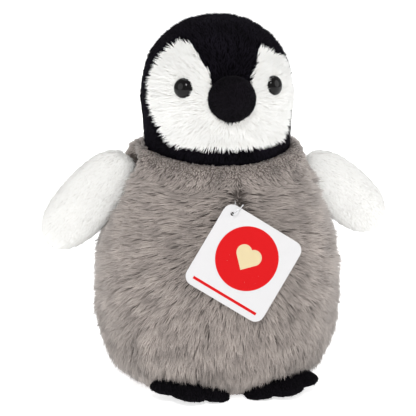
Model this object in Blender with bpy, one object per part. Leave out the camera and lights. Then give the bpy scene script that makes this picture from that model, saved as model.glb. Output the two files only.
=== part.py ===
"""Plush penguin chick: sewn skin panels, stuffing, eyes, flippers, feet and hang tag.

Metres, +Z up, the toy faces -Y and its own left side is +X. It rests on the plane Z = 0.
"""

import math

import bmesh
import bpy
from mathutils import Matrix, Vector

# Driving dimensions
MM = 0.001
GAP = 0.3 * MM  # clearance between pieces that touch
PILE_CLOTH = 3.0 * MM  # long-pile cloth of the body, backing and flattened pile
FACE_CLOTH = 2.5 * MM  # short-pile cloth of the head and flippers
VELOUR = 1.2 * MM  # cloth of the beak and feet
TURN_STEPS = 32
SKIN_STEPS = 2  # points along each span of a skin's outline

BODY_DEPTH_RATIO = 0.92  # front-to-back size over side-to-side size
BODY_SKIN = (  # radius and height in mm, from the neck opening down to the base seam
    (30.0, 128.2),
    (40.5, 128.8),
    (46.4, 124.2),
    (49.2, 113.0),
    (52.6, 97.0),
    (59.0, 79.0),
    (62.0, 58.0),
    (61.4, 37.0),
    (56.2, 17.5),
    (43.5, 3.3),
)
NECKLINE_DIP = 6.0 * MM  # the neck opening is this much lower at the front
NECKLINE_DEPTH = 40.0 * MM  # where the dip is full, in front of the axis
NECKLINE_SPAN = (104.0 * MM, 124.0 * MM)  # the heights over which the dip sets in
BASE_RADIUS = 40.5 * MM
BASE_CLOTH = 3.0 * MM

NECK_PIVOT = Vector((0.0, 0.0, 150.0 * MM))
NECK_BALL = 44.6 * MM  # the head turns in the body as a ball of this radius
NECK_SOCKET = 45.3 * MM
NECK_SPLIT = 30.7 * MM  # depth of the joint plane below the pivot
HEAD_SKIN = (  # radius and height over the pivot in mm, from the crown down to the neck seam
    (0.0, 46.8),
    (16.0, 43.9),
    (28.0, 36.0),
    (35.8, 24.5),
    (39.6, 8.0),
    (39.0, -6.0),
    (38.0, -17.0),
    (37.0, -24.8),
)
HEAD_INNER_EDGE = (34.6, -28.0)  # inner rim of the neck band, on the ball
BAND_TOP = -21.6 * MM  # upper edge of the neck band
FACE_EDGE = (  # side view of the white face's outer edge: Y and height over the pivot, mm
    (-34.0, -26.0),
    (-26.5, -17.5),
    (-20.0, -9.0),
    (-14.5, 0.0),
    (-11.0, 9.0),
    (-10.5, 18.0),
    (-13.5, 28.0),
    (-20.5, 38.5),
    (-25.0, 52.0),
)
GUSSET_EDGE = (  # half-width and height over the pivot of the black stripe, mm
    (4.5, -3.4),
    (8.0, 0.5),
    (9.0, 8.0),
    (9.6, 21.0),
    (11.6, 25.0),
    (14.0, 30.0),
    (16.6, 35.5),
    (18.4, 40.0),
    (19.5, 52.0),
)
GUSSET_SHIFT = 1.6 * MM  # the stripe is sewn this far to the toy's left above the beak

BEAK_CENTRE = Vector((0.0, -37.0, 8.2)) * MM
BEAK_HALF_SIZE = Vector((12.2, 14.6, 11.4)) * MM

EYE_AZIMUTH = math.radians(37.2)
EYE_TILT = math.radians(10.0)
EYE_HEIGHT = 13.4 * MM
EYE_RADIUS_FROM_AXIS = 38.6 * MM
EYE_PROFILE = (  # radius and height in mm, from the dome down its shank
    (0.0, 4.2),
    (2.5, 3.8),
    (4.3, 2.7),
    (5.2, 1.2),
    (5.2, 0.35),
    (1.5, 0.35),
    (1.5, -7.0),
    (0.0, -7.0),
)
WASHER_LOOP = ((1.8, -3.4), (6.0, -3.4), (6.0, -4.8), (1.8, -4.8))
EYE_HOLE = 1.9 * MM
EYE_POCKET = 6.5 * MM

FLIPPER_ROOT = Vector((56.6, 0.0, 112.0)) * MM
FLIPPER_RISE = {"left": -2.0 * MM, "right": 2.0 * MM}  # the toy sits a little askew
FLIPPER_CENTRE = 20.0 * MM  # from the hinge axis to the middle of the flipper
FLIPPER_HALF_LENGTH = 33.0 * MM
FLIPPER_HALF_WIDTH = 14.8 * MM
FLIPPER_HALF_THICKNESS = 6.2 * MM
FLIPPER_SWEEP = math.radians(22.0)  # both flippers point back by this much
FLIPPER_DROP = {"left": math.radians(37.0), "right": math.radians(48.0)}
FLIPPER_POCKET = 18.6 * MM
FLIPPER_POCKET_WIDTH = 17.0 * MM

FOOT_CENTRE = Vector((22.5, -32.5, 2.6)) * MM
FOOT_SHIFT = 2.0 * MM  # both feet are sewn this far to the toy's left
FOOT_STEPS = 96  # points round a foot's rim
FOOT_SPLAY = math.radians(14.0)
FOOT_ROLL = math.radians(8.0)  # the outer toes stand higher, along the belly's curve
FOOT_LENGTH = 24.0 * MM
FOOT_NOTCH = 4.8 * MM
FOOT_TOE_SPACING = math.radians(52.0)
FOOT_HEEL = 16.0 * MM
FOOT_HEIGHT = 9.4 * MM

POUCH_RADIUS = 24.0 * MM
POUCH_FLOOR = 5.4 * MM
POUCH_TOP = 23.0 * MM
POUCH_CLOTH = 0.8 * MM
POUCH_MOUTH = 3.0 * MM

TAG_SIDE = 46.5 * MM
TAG_CORNER = 5.0 * MM
TAG_CARD = 0.7 * MM
TAG_ROLL = math.radians(33.0)
TAG_LEAN = math.radians(9.0)  # the card leans out over the belly
TAG_HOLE = Vector((-3.2, -56.5, 102.2)) * MM
TAG_HOLE_RADIUS = 1.0 * MM
TAG_CENTRE_BELOW = 25.4 * MM  # from the hole to the middle of the card
TAG_CENTRE_ASIDE = 5.2 * MM
FILAMENT = 0.35 * MM  # radius
SEAM_EXIT = Vector((0.0, -47.0, 107.0)) * MM
BAR_DEPTH = 5.2 * MM  # the fastener's bar lies this far behind the cloth
BAR_HALF_LENGTH = 4.5 * MM

LABEL_SIZE = Vector((0.5, 11.0, 20.0)) * MM
LABEL_PLACE = Vector((0.0, 62.0, 30.0)) * MM  # on the back seam


def material(name, colour, roughness, metallic=0.0):
    """A plain Principled material."""
    made = bpy.data.materials.new(name)
    made.use_nodes = True
    shader = made.node_tree.nodes["Principled BSDF"]
    shader.inputs["Base Color"].default_value = (*colour, 1.0)
    shader.inputs["Roughness"].default_value = roughness
    shader.inputs["Metallic"].default_value = metallic
    made.diffuse_color = (*colour, 1.0)
    return made


def millimetres(points):
    return [tuple(value * MM for value in point) for point in points]


def smooth_through(points, per_span):
    """A Catmull-Rom chain through the points; one that starts on the axis leaves it level."""
    before = (-points[1][0], points[1][1]) if points[0][0] == 0.0 else points[0]
    chain = [before, *points, points[-1]]
    curve = []
    for i in range(1, len(chain) - 2):
        a, b, c, d = (Vector(chain[i + k]) for k in (-1, 0, 1, 2))
        for step in range(per_span):
            t = step / per_span
            curve.append(0.5 * (2 * b + (c - a) * t + (2 * a - 5 * b + 4 * c - d) * t**2
                                + (3 * b - a - 3 * c + d) * t**3))
    curve.append(Vector(points[-1]))
    return [(p.x, p.y) for p in curve]


def inset(profile, depth):
    """The profile of a turned shape, moved inwards by depth along its own normals."""
    moved = []
    for i, (radius, height) in enumerate(profile):
        before = profile[max(i - 1, 0)]
        after = profile[min(i + 1, len(profile) - 1)]
        if radius == 0.0:
            moved.append((0.0, height - depth))
            continue
        along = Vector((after[0] - before[0], after[1] - before[1])).normalized()
        moved.append((radius + depth * along.y, height - depth * along.x))
    return moved


def finished(mesh, name):
    """Closes the bmesh with its faces outwards and returns it as mesh data."""
    bmesh.ops.remove_doubles(mesh, verts=mesh.verts, dist=1e-7)
    bmesh.ops.recalc_face_normals(mesh, faces=mesh.faces)
    data = bpy.data.meshes.new(name)
    mesh.to_mesh(data)
    mesh.free()
    return data


def placed(data, made_of, parent=None, smooth=True):
    """An object of the toy, on its parent if it has one."""
    piece = bpy.data.objects.new(data.name, data)
    TOY.objects.link(piece)
    data.materials.append(made_of)
    if smooth:
        data.polygons.foreach_set("use_smooth", [True] * len(data.polygons))
    piece.parent = parent
    return piece


def cutter(data, parent=None):
    """A helper shape that only takes part in Booleans."""
    helper = bpy.data.objects.new(data.name, data)
    CUTTERS.objects.link(helper)
    helper.display_type = "WIRE"
    helper.hide_render = True
    helper.parent = parent
    return helper


def cut(piece, helper, operation="DIFFERENCE"):
    boolean = piece.modifiers.new(helper.name, "BOOLEAN")
    boolean.operation = operation
    boolean.object = helper
    boolean.solver = "EXACT"


def turned(name, chain, steps=TURN_STEPS, depth_ratio=1.0, loop=False):
    """A turned solid from a chain that runs from axis to axis, or from a loop clear of it."""
    mesh = bmesh.new()
    verts = [mesh.verts.new((radius, 0.0, height)) for radius, height in chain]
    pairs = list(zip(verts, verts[1:])) + ([(verts[-1], verts[0])] if loop else [])
    edges = [mesh.edges.new(pair) for pair in pairs]
    bmesh.ops.spin(mesh, geom=verts + edges, axis=(0, 0, 1), cent=(0, 0, 0), angle=math.tau, steps=steps)
    bmesh.ops.remove_doubles(mesh, verts=mesh.verts, dist=1e-6)
    bmesh.ops.scale(mesh, verts=mesh.verts, vec=(1.0, depth_ratio, 1.0))
    return finished(mesh, name)


def turned_sector(name, loop, start, sweep, steps, depth_ratio):
    """Part of a turned solid, with flat ends."""
    mesh = bmesh.new()
    section = mesh.faces.new([mesh.verts.new((radius, 0.0, height)) for radius, height in loop])
    bmesh.ops.rotate(mesh, verts=mesh.verts, cent=(0, 0, 0), matrix=Matrix.Rotation(start, 3, "Z"))
    geometry = [section, *section.edges, *section.verts]
    bmesh.ops.spin(mesh, geom=geometry, axis=(0, 0, 1), cent=(0, 0, 0), angle=sweep, steps=steps)
    bmesh.ops.scale(mesh, verts=mesh.verts, vec=(1.0, depth_ratio, 1.0))
    return finished(mesh, name)


def prism(name, outline, plane, near, far):
    """A flat outline in the plane XZ or YZ, pulled from near to far across it."""
    mesh = bmesh.new()
    if plane == "XZ":
        points = [(a, near, b) for a, b in outline]
        pull = (0.0, far - near, 0.0)
    else:
        points = [(near, a, b) for a, b in outline]
        pull = (far - near, 0.0, 0.0)
    face = mesh.faces.new([mesh.verts.new(point) for point in points])
    pulled = bmesh.ops.extrude_face_region(mesh, geom=[face])
    moved = [item for item in pulled["geom"] if isinstance(item, bmesh.types.BMVert)]
    bmesh.ops.translate(mesh, verts=moved, vec=pull)
    return finished(mesh, name)


def block(name, low, high):
    """A box between two corners."""
    mesh = bmesh.new()
    low, high = Vector(low), Vector(high)
    size = high - low
    place = Matrix.Translation((low + high) / 2) @ Matrix.Diagonal((*size, 1.0))
    bmesh.ops.create_cube(mesh, size=1.0, matrix=place)
    return finished(mesh, name)


def cylinder(name, radius, low, high, turn=Matrix()):
    """A round bar along its own Z from low to high, then turned."""
    mesh = bmesh.new()
    place = turn @ Matrix.Translation((0.0, 0.0, (low + high) / 2))
    bmesh.ops.create_cone(
        mesh,
        cap_ends=True,
        segments=TURN_STEPS,
        radius1=radius,
        radius2=radius,
        depth=high - low,
        matrix=place,
    )
    return finished(mesh, name)


def ball(name, centre, half_size, segments=40, rings=20):
    mesh = bmesh.new()
    place = Matrix.Translation(centre) @ Matrix.Diagonal((*half_size, 1.0))
    bmesh.ops.create_uvsphere(mesh, u_segments=segments, v_segments=rings, radius=1.0, matrix=place)
    return finished(mesh, name)


def pillow(name, reach, rise, sink, segments=40, rings=10):
    """A ball reshaped to the outline reach(angle), with halves rise and sink high."""
    mesh = bmesh.new()
    bmesh.ops.create_uvsphere(mesh, u_segments=segments, v_segments=rings, radius=1.0)
    for vert in mesh.verts:
        level = vert.co.z
        out = math.sqrt(max(0.0, 1.0 - abs(level) ** 2.2))
        angle = math.atan2(vert.co.y, vert.co.x)
        radius = reach(angle) * out
        height = rise if level > 0.0 else sink
        vert.co = (radius * math.cos(angle), radius * math.sin(angle), level * height)
    return finished(mesh, name)


def empty(name, place):
    """A joint's frame, in its place."""
    frame = bpy.data.objects.new(name, None)
    frame.empty_display_size = 10 * MM
    TOY.objects.link(frame)
    frame.matrix_world = place
    return frame


def tube(name, points, radius, made_of, parent=None):
    """A round wire through the points, with closed ends."""
    curve = bpy.data.curves.new(name, "CURVE")
    curve.dimensions = "3D"
    curve.bevel_depth = radius
    curve.bevel_resolution = 2
    curve.use_fill_caps = True
    spline = curve.splines.new("POLY")
    spline.points.add(len(points) - 1)
    for point, co in zip(spline.points, points):
        point.co = (*co, 1.0)
    wire = bpy.data.objects.new(name, curve)
    TOY.objects.link(wire)
    curve.materials.append(made_of)
    wire.parent = parent
    return wire


def flipper_place(side):
    """The flipper's frame: X runs to its tip, Y is its thickness and the hinge, Z its width."""
    sign = 1.0 if side == "left" else -1.0
    root = Vector((sign * FLIPPER_ROOT.x, FLIPPER_ROOT.y, FLIPPER_ROOT.z + FLIPPER_RISE[side]))
    heading = FLIPPER_SWEEP if side == "left" else math.pi - FLIPPER_SWEEP
    turn = Matrix.Rotation(heading, 4, "Z") @ Matrix.Rotation(FLIPPER_DROP[side], 4, "Y")
    return Matrix.Translation(root) @ turn


def dipped(data):
    """The top of a body piece lowered at the front, where the neck opening dips."""
    low, high = NECKLINE_SPAN
    for vertex in data.vertices:
        forward = min(1.0, max(0.0, -vertex.co.y / NECKLINE_DEPTH))
        upward = min(1.0, max(0.0, (vertex.co.z - low) / (high - low)))
        vertex.co.z -= NECKLINE_DIP * forward * forward * upward
    return data


def build_body(cloth, stuffing, pouch_cloth, beads, label_cloth):
    """The torso: four side panels, base, stuffing, granule pouch and care label."""
    skin = smooth_through(millimetres(BODY_SKIN), SKIN_STEPS)
    lining = inset(skin, PILE_CLOTH)
    socket = cutter(ball("neck_socket_cutter", NECK_PIVOT, (NECK_SOCKET,) * 3))
    pockets = {}
    for side in ("left", "right"):
        across = Matrix.Rotation(math.radians(90.0), 4, "X")
        half = FLIPPER_POCKET_WIDTH / 2
        pocket = cutter(cylinder(f"flipper_{side}_pocket_cutter", FLIPPER_POCKET, -half, half, across))
        pocket.matrix_world = flipper_place(side)
        pockets[side] = pocket
    exit_turn = Matrix.Rotation(math.radians(90.0), 4, "X")
    exit_data = cylinder("fastener_hole_cutter", 2.4 * FILAMENT, -60 * MM, 60 * MM, exit_turn)
    fastener_hole = cutter(exit_data)
    fastener_hole.location = (SEAM_EXIT.x, -50 * MM, SEAM_EXIT.z)

    quarter = math.radians(90.0)
    seam = GAP / BASE_RADIUS  # the gap as an angle
    corners = {"back_left": 0, "back_right": 1, "front_right": 2, "front_left": 3}
    for corner, turns in corners.items():
        data = turned_sector(
            f"body_{corner}_panel", skin + lining[::-1], turns * quarter + seam / 2, quarter - seam, 9,
            BODY_DEPTH_RATIO,
        )
        panel = placed(dipped(data), cloth)
        cut(panel, socket)
        cut(panel, pockets[corner.split("_")[1]])
        if corner.startswith("front"):
            cut(panel, fastener_hole)

    disc = [(0.0, BASE_CLOTH), (BASE_RADIUS, BASE_CLOTH), (BASE_RADIUS, 0.0), (0.0, 0.0)]
    base = turned("base_panel", disc, depth_ratio=BODY_DEPTH_RATIO)
    placed(base, cloth, smooth=False)

    core = inset(skin, PILE_CLOTH + GAP)
    floor = BASE_CLOTH + GAP
    chain = [(0.0, core[0][1]), *core, (core[-1][0] - 0.5 * MM, floor), (0.0, floor)]
    filling = placed(dipped(turned("body_stuffing", chain, depth_ratio=BODY_DEPTH_RATIO)), stuffing)
    cut(filling, socket)
    for pocket in pockets.values():
        cut(filling, pocket)
    pouch_room = cylinder("pouch_room_cutter", POUCH_RADIUS + GAP, -5 * MM, POUCH_TOP + GAP)
    cut(filling, cutter(pouch_room))
    bar_low = (-6.0 * MM, SEAM_EXIT.y, SEAM_EXIT.z - 1.6 * MM)
    bar_high = (6.0 * MM, SEAM_EXIT.y + BAR_DEPTH + 1.6 * MM, SEAM_EXIT.z + 1.6 * MM)
    cut(filling, cutter(block("fastener_bar_room_cutter", bar_low, bar_high)))

    outer = [(POUCH_MOUTH, POUCH_TOP), (POUCH_RADIUS - 2 * MM, POUCH_TOP), (POUCH_RADIUS, POUCH_TOP - 3 * MM),
             (POUCH_RADIUS, POUCH_FLOOR), (0.0, POUCH_FLOOR)]
    inner_radius = POUCH_RADIUS - POUCH_CLOTH
    inner = [(0.0, POUCH_FLOOR + POUCH_CLOTH), (inner_radius, POUCH_FLOOR + POUCH_CLOTH),
             (inner_radius, POUCH_TOP - 3 * MM), (inner_radius - 2 * MM, POUCH_TOP - POUCH_CLOTH),
             (POUCH_MOUTH, POUCH_TOP - POUCH_CLOTH)]
    pouch = inner[::-1] + outer[::-1]
    placed(turned("granule_pouch", close_mouth(pouch)), pouch_cloth)
    heap_radius = inner_radius - GAP
    heap = [(0.0, POUCH_TOP - 4.5 * MM), (heap_radius - 3 * MM, POUCH_TOP - 5.5 * MM),
            (heap_radius, POUCH_TOP - 8 * MM), (heap_radius, POUCH_FLOOR + POUCH_CLOTH + GAP),
            (0.0, POUCH_FLOOR + POUCH_CLOTH + GAP)]
    placed(turned("granule_fill", heap), beads)

    label = placed(block("care_label", -LABEL_SIZE / 2, LABEL_SIZE / 2), label_cloth, smooth=False)
    label.location = LABEL_PLACE


def close_mouth(chain):
    """The pouch's chain turned round so that it starts and ends on the axis, through its mouth's rim."""
    start = max(i for i, point in enumerate(chain) if point[0] == 0.0)
    return chain[start:] + chain[:start]


def build_foot(side, velour, stuffing, envelope):
    """One foot: a velour top and sole around a flat cushion, three toes at the front."""
    sign = 1.0 if side == "left" else -1.0
    frame = empty(
        f"foot_{side}_frame",
        Matrix.Translation((sign * FOOT_CENTRE.x + FOOT_SHIFT, FOOT_CENTRE.y, FOOT_CENTRE.z))
        @ Matrix.Rotation(-sign * FOOT_ROLL, 4, "Y")
        @ Matrix.Rotation(sign * FOOT_SPLAY - math.radians(90.0), 4, "Z"),
    )

    def outline(shrink):
        """How far the foot reaches from its centre: three lobes around +X and a plain heel."""
        def reach(angle):
            lobes = abs(math.cos(math.pi * angle / FOOT_TOE_SPACING)) ** 0.7
            toes = FOOT_LENGTH - FOOT_NOTCH * (1.0 - lobes)
            edge = math.radians(78.0)
            blend = min(1.0, max(0.0, (abs(angle) - edge) / math.radians(20.0)))
            return toes * (1.0 - blend) + FOOT_HEEL * blend - shrink
        return reach

    sole_level = VELOUR
    rise = FOOT_HEIGHT - sole_level
    far = 60 * MM
    ground = block(f"foot_{side}_ground_cutter", (-far, -far, -far), (far, far, sole_level + GAP))
    ground_cutter = cutter(ground, frame)

    top = placed(pillow(f"foot_{side}_top", outline(0.0), rise, rise), velour, frame)
    room = cutter(pillow(f"foot_{side}_room_cutter", outline(VELOUR), rise - VELOUR, rise - VELOUR), frame)
    cut(top, room)
    cut(top, ground_cutter)
    cut(top, envelope)

    core = outline(VELOUR + GAP)
    core_rise = rise - VELOUR - GAP
    cushion = placed(pillow(f"foot_{side}_stuffing", core, core_rise, core_rise), stuffing, frame)
    cut(cushion, ground_cutter)
    cut(cushion, envelope)

    mesh = bmesh.new()
    angles = [math.tau * step / FOOT_STEPS - math.pi for step in range(FOOT_STEPS)]
    reach = outline(0.0)
    rim = [(reach(angle) * math.cos(angle), reach(angle) * math.sin(angle), 0.0) for angle in angles]
    face = mesh.faces.new([mesh.verts.new(point) for point in rim])
    pulled = bmesh.ops.extrude_face_region(mesh, geom=[face])
    raised = [item for item in pulled["geom"] if isinstance(item, bmesh.types.BMVert)]
    bmesh.ops.translate(mesh, verts=raised, vec=(0.0, 0.0, sole_level))
    sole = placed(finished(mesh, f"foot_{side}_sole"), velour, frame)
    cut(sole, envelope)


def build_flipper(side, cloth, stuffing):
    """One flipper: front and back panels around its stuffing, on the shoulder hinge."""
    frame = empty(f"flipper_{side}_axis", flipper_place(side))
    lay = Matrix.Rotation(math.radians(90.0), 4, "X")

    def outline(shrink):
        """A rounded paddle: a superellipse a little fuller than an oval."""
        long, wide = FLIPPER_HALF_LENGTH - shrink, FLIPPER_HALF_WIDTH - shrink
        def reach(angle):
            return (abs(math.cos(angle) / long) ** 2.4 + abs(math.sin(angle) / wide) ** 2.4) ** (-1 / 2.4)
        return reach

    def paddle(name, shrink):
        rise = FLIPPER_HALF_THICKNESS - shrink
        data = pillow(name, outline(shrink), rise, rise)
        data.transform(Matrix.Translation((FLIPPER_CENTRE, 0.0, 0.0)) @ lay)
        return data

    cloth_thickness = FACE_CLOTH * 0.7
    room = cutter(paddle(f"flipper_{side}_room_cutter", cloth_thickness), frame)
    front_sign = -1.0 if side == "left" else 1.0  # which way the hinge's own Y meets the toy's front
    far = 90 * MM
    for face, sign in (("front", front_sign), ("back", -front_sign)):
        panel = placed(paddle(f"flipper_{side}_{face}_panel", 0.0), cloth, frame)
        near_y, far_y = sorted((sign * GAP / 2, sign * far))
        half = block(f"flipper_{side}_{face}_half_cutter", (-far, near_y, -far), (far, far_y, far))
        cut(panel, cutter(half, frame), "INTERSECT")
        cut(panel, room)
    placed(paddle(f"flipper_{side}_stuffing", cloth_thickness + GAP), stuffing, frame)


def build_tag(card_stock, nylon):
    """The hang tag: a bar in the seam, a nylon loop that swings from it and a square card."""
    along_x = Matrix.Rotation(math.radians(90.0), 4, "Y")
    along_y = Matrix.Rotation(math.radians(90.0), 4, "X")
    data = cylinder("tag_fastener_bar", 1.3 * FILAMENT, -BAR_HALF_LENGTH, BAR_HALF_LENGTH, along_x)
    bar = placed(data, nylon)
    bar.location = SEAM_EXIT + Vector((0.0, BAR_DEPTH, 0.0))
    stub_length = BAR_DEPTH - 2 * GAP
    stub = cutter(cylinder("fastener_stub_cutter", FILAMENT, 0.0, stub_length, along_y), bar)
    cut(bar, stub, "UNION")
    loop_frame = empty("tag_loop_axis", Matrix.Translation(SEAM_EXIT))
    local = Matrix.Translation(-SEAM_EXIT)
    lean = Matrix.Rotation(-TAG_LEAN, 4, "X")
    hole = TAG_HOLE
    front = hole + Vector((0.0, -2.2 * MM, 0.0))
    knob = hole + Vector((5.6, -0.6, 4.6)) * MM
    route = [
        SEAM_EXIT,
        SEAM_EXIT + Vector((-0.6, -5.0, -0.6)) * MM,
        hole + Vector((-0.2, 3.4, 1.0)) * MM,
        hole + Vector((0.0, 1.0, 0.0)) * MM,
        front,
        front + Vector((1.6, -0.7, 1.2)) * MM,
        knob,
    ]
    tube("tag_fastener_loop", [local @ point for point in route], FILAMENT, nylon, loop_frame)

    card_frame = empty("tag_card_axis", Matrix.Translation(hole) @ lean)
    curve = bpy.data.curves.new("tag_card", "CURVE")
    curve.dimensions = "2D"
    curve.fill_mode = "BOTH"
    curve.extrude = TAG_CARD / 2
    half = TAG_SIDE / 2
    centre = Vector((TAG_CENTRE_ASIDE, -TAG_CENTRE_BELOW))
    corner = half - TAG_CORNER
    quarter = math.radians(90.0)
    rim = []
    for turn in range(4):
        for step in range(6):
            angle = turn * quarter + step / 5 * quarter
            heart = Matrix.Rotation(turn * quarter, 2) @ Vector((corner, corner))
            rim.append(heart + TAG_CORNER * Vector((math.cos(angle), math.sin(angle))))
    turned_rim = [centre + Matrix.Rotation(-TAG_ROLL, 2) @ point for point in rim]
    hole_rim = [TAG_HOLE_RADIUS * Vector((math.cos(math.tau * i / 16), math.sin(math.tau * i / 16)))
                for i in range(16)]
    for points in (turned_rim, hole_rim):
        spline = curve.splines.new("POLY")
        spline.points.add(len(points) - 1)
        for point, co in zip(spline.points, points):
            point.co = (co.x, co.y, 0.0, 1.0)
        spline.use_cyclic_u = True
    card = bpy.data.objects.new("tag_card", curve)
    TOY.objects.link(card)
    curve.materials.append(card_stock)
    card.parent = card_frame
    card.rotation_euler = (math.radians(90.0), 0.0, 0.0)


def side_prism(name, shift):
    """What lies in front of the white face's outer edge, in side view, moved back by shift."""
    edge = [(y + shift, z) for y, z in smooth_through(millimetres(FACE_EDGE), 2)]
    front = -70 * MM
    outline = [*edge, (front, edge[-1][1]), (front, edge[0][1])]
    return prism(name, outline, "YZ", -70 * MM, 70 * MM)


def gusset_prism(name, widen):
    """The black stripe over the crown, in front view, each edge moved out by widen."""
    edge = smooth_through(millimetres(GUSSET_EDGE), 2)
    left, right = [], []
    for half_width, height in edge:
        shift = GUSSET_SHIFT * min(1.0, max(0.0, (height - 20 * MM) / (6 * MM)))
        left.append((shift + half_width + widen, height))
        right.append((shift - half_width - widen, height))
    left[0] = (left[0][0], left[0][1] - widen)
    right[0] = (right[0][0], right[0][1] - widen)
    return prism(name, [*left, *right[::-1]], "XZ", -70 * MM, 70 * MM)


def build_head(black, white, velour, stuffing, eye_plastic, washer_plastic):
    """The head on its two neck axes, with the beak, the eyes and the eyes' washers."""
    nod = empty("head_nod_axis", Matrix.Translation(NECK_PIVOT))
    turn = empty("head_turn_axis", Matrix.Translation(NECK_PIVOT))

    rim_angle = math.asin((NECK_SPLIT + GAP) / NECK_BALL)
    steps = 8
    bowl = [(0.0, -NECK_SPLIT - GAP)]
    for step in range(steps + 1):
        angle = rim_angle + (math.radians(90.0) - rim_angle) * step / steps
        bowl.append((NECK_BALL * math.cos(angle), -NECK_BALL * math.sin(angle)))
    bowl[-1] = (0.0, -NECK_BALL)
    placed(turned("neck_stuffing", bowl), stuffing, nod)

    skin = smooth_through(millimetres(HEAD_SKIN), SKIN_STEPS)
    lining = inset(skin, FACE_CLOTH)[:-1] + millimetres([HEAD_INNER_EDGE])
    shell_chain = skin + lining[::-1]

    far = 80 * MM
    above = {}
    for name, level in (("band", BAND_TOP - GAP / 2), ("cap", BAND_TOP + GAP / 2)):
        low, high = (-far, level) if name == "band" else (level, far)
        above[name] = cutter(block(f"{name}_level_cutter", (-far, -far, low), (far, far, high)), turn)
    face_front = cutter(side_prism("face_front_cutter", -GAP / 2), turn)
    face_behind = cutter(side_prism("face_behind_cutter", GAP / 2), turn)
    stripe = cutter(gusset_prism("stripe_cutter", -GAP / 2), turn)
    stripe_wide = cutter(gusset_prism("stripe_wide_cutter", GAP / 2), turn)
    halves = {
        "left": cutter(block("left_half_cutter", (GAP / 2, -far, -far), (far, far, far)), turn),
        "right": cutter(block("right_half_cutter", (-far, -far, -far), (-GAP / 2, far, far)), turn),
    }
    eye_frames = {}
    for side, sign in (("left", 1.0), ("right", -1.0)):
        spot = Vector((sign * EYE_RADIUS_FROM_AXIS * math.sin(EYE_AZIMUTH),
                       -EYE_RADIUS_FROM_AXIS * math.cos(EYE_AZIMUTH), EYE_HEIGHT))
        facing = Vector((sign * math.sin(EYE_AZIMUTH), -math.cos(EYE_AZIMUTH), math.tan(EYE_TILT)))
        aim = facing.to_track_quat("Z", "Y").to_matrix().to_4x4()
        eye_frames[side] = Matrix.Translation(spot) @ aim

    band = placed(turned("neck_band", shell_chain), black, turn)
    cut(band, above["band"], "INTERSECT")
    gusset = placed(turned("forehead_gusset", shell_chain), black, turn)
    cut(gusset, stripe, "INTERSECT")
    for side in ("left", "right"):
        face = placed(turned(f"face_{side}_panel", shell_chain), white, turn)
        cut(face, above["cap"], "INTERSECT")
        cut(face, face_front, "INTERSECT")
        cut(face, halves[side], "INTERSECT")
        cut(face, stripe_wide)
        eye_hole = cutter(cylinder(f"eye_{side}_hole_cutter", EYE_HOLE, -10 * MM, 10 * MM), turn)
        eye_hole.matrix_local = eye_frames[side]
        cut(face, eye_hole)
        back = placed(turned(f"head_back_{side}_panel", shell_chain), black, turn)
        cut(back, above["cap"], "INTERSECT")
        cut(back, halves[side], "INTERSECT")
        cut(back, face_behind)
        cut(back, stripe_wide)

    core = inset(skin, FACE_CLOTH + GAP)[:-1]
    ball_at_split = math.sqrt(NECK_BALL**2 - NECK_SPLIT**2)
    rim = (core[-1][0] - 0.4 * MM, -28.4 * MM)
    core = [*core, rim, (ball_at_split - 0.3 * MM, -NECK_SPLIT), (0.0, -NECK_SPLIT)]
    filling = placed(turned("head_stuffing", core), stuffing, turn)

    envelope = cutter(turned("head_envelope_cutter", [*inset(skin, -GAP), (0.0, skin[-1][1])]), turn)
    room = cutter(ball("beak_room_cutter", BEAK_CENTRE, BEAK_HALF_SIZE - Vector((VELOUR,) * 3), 28, 14), turn)
    beak_split = BEAK_CENTRE.z - 1.5 * MM
    for name, low, high in (("upper", beak_split + GAP / 2, far), ("lower", -far, beak_split - GAP / 2)):
        panel = placed(ball(f"beak_{name}_panel", BEAK_CENTRE, BEAK_HALF_SIZE, 28, 14), velour, turn)
        cut(panel, envelope)
        cut(panel, room)
        half = block(f"beak_{name}_cutter", (-far, -far, low), (far, far, high))
        cut(panel, cutter(half, turn), "INTERSECT")
    core_size = BEAK_HALF_SIZE - Vector((VELOUR + GAP,) * 3)
    beak_filling = placed(ball("beak_stuffing", BEAK_CENTRE, core_size, 28, 14), stuffing, turn)
    cut(beak_filling, envelope)

    for side, place in eye_frames.items():
        eye = placed(turned(f"eye_{side}", millimetres(EYE_PROFILE), 24), eye_plastic, turn)
        eye.matrix_local = place
        ring = turned(f"eye_washer_{side}", millimetres(WASHER_LOOP), 24, loop=True)
        washer = placed(ring, washer_plastic, turn)
        washer.matrix_local = place
        pocket = cutter(cylinder(f"eye_{side}_pocket_cutter", EYE_POCKET, -7.6 * MM, 4 * MM), turn)
        pocket.matrix_local = place
        cut(filling, pocket)


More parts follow.
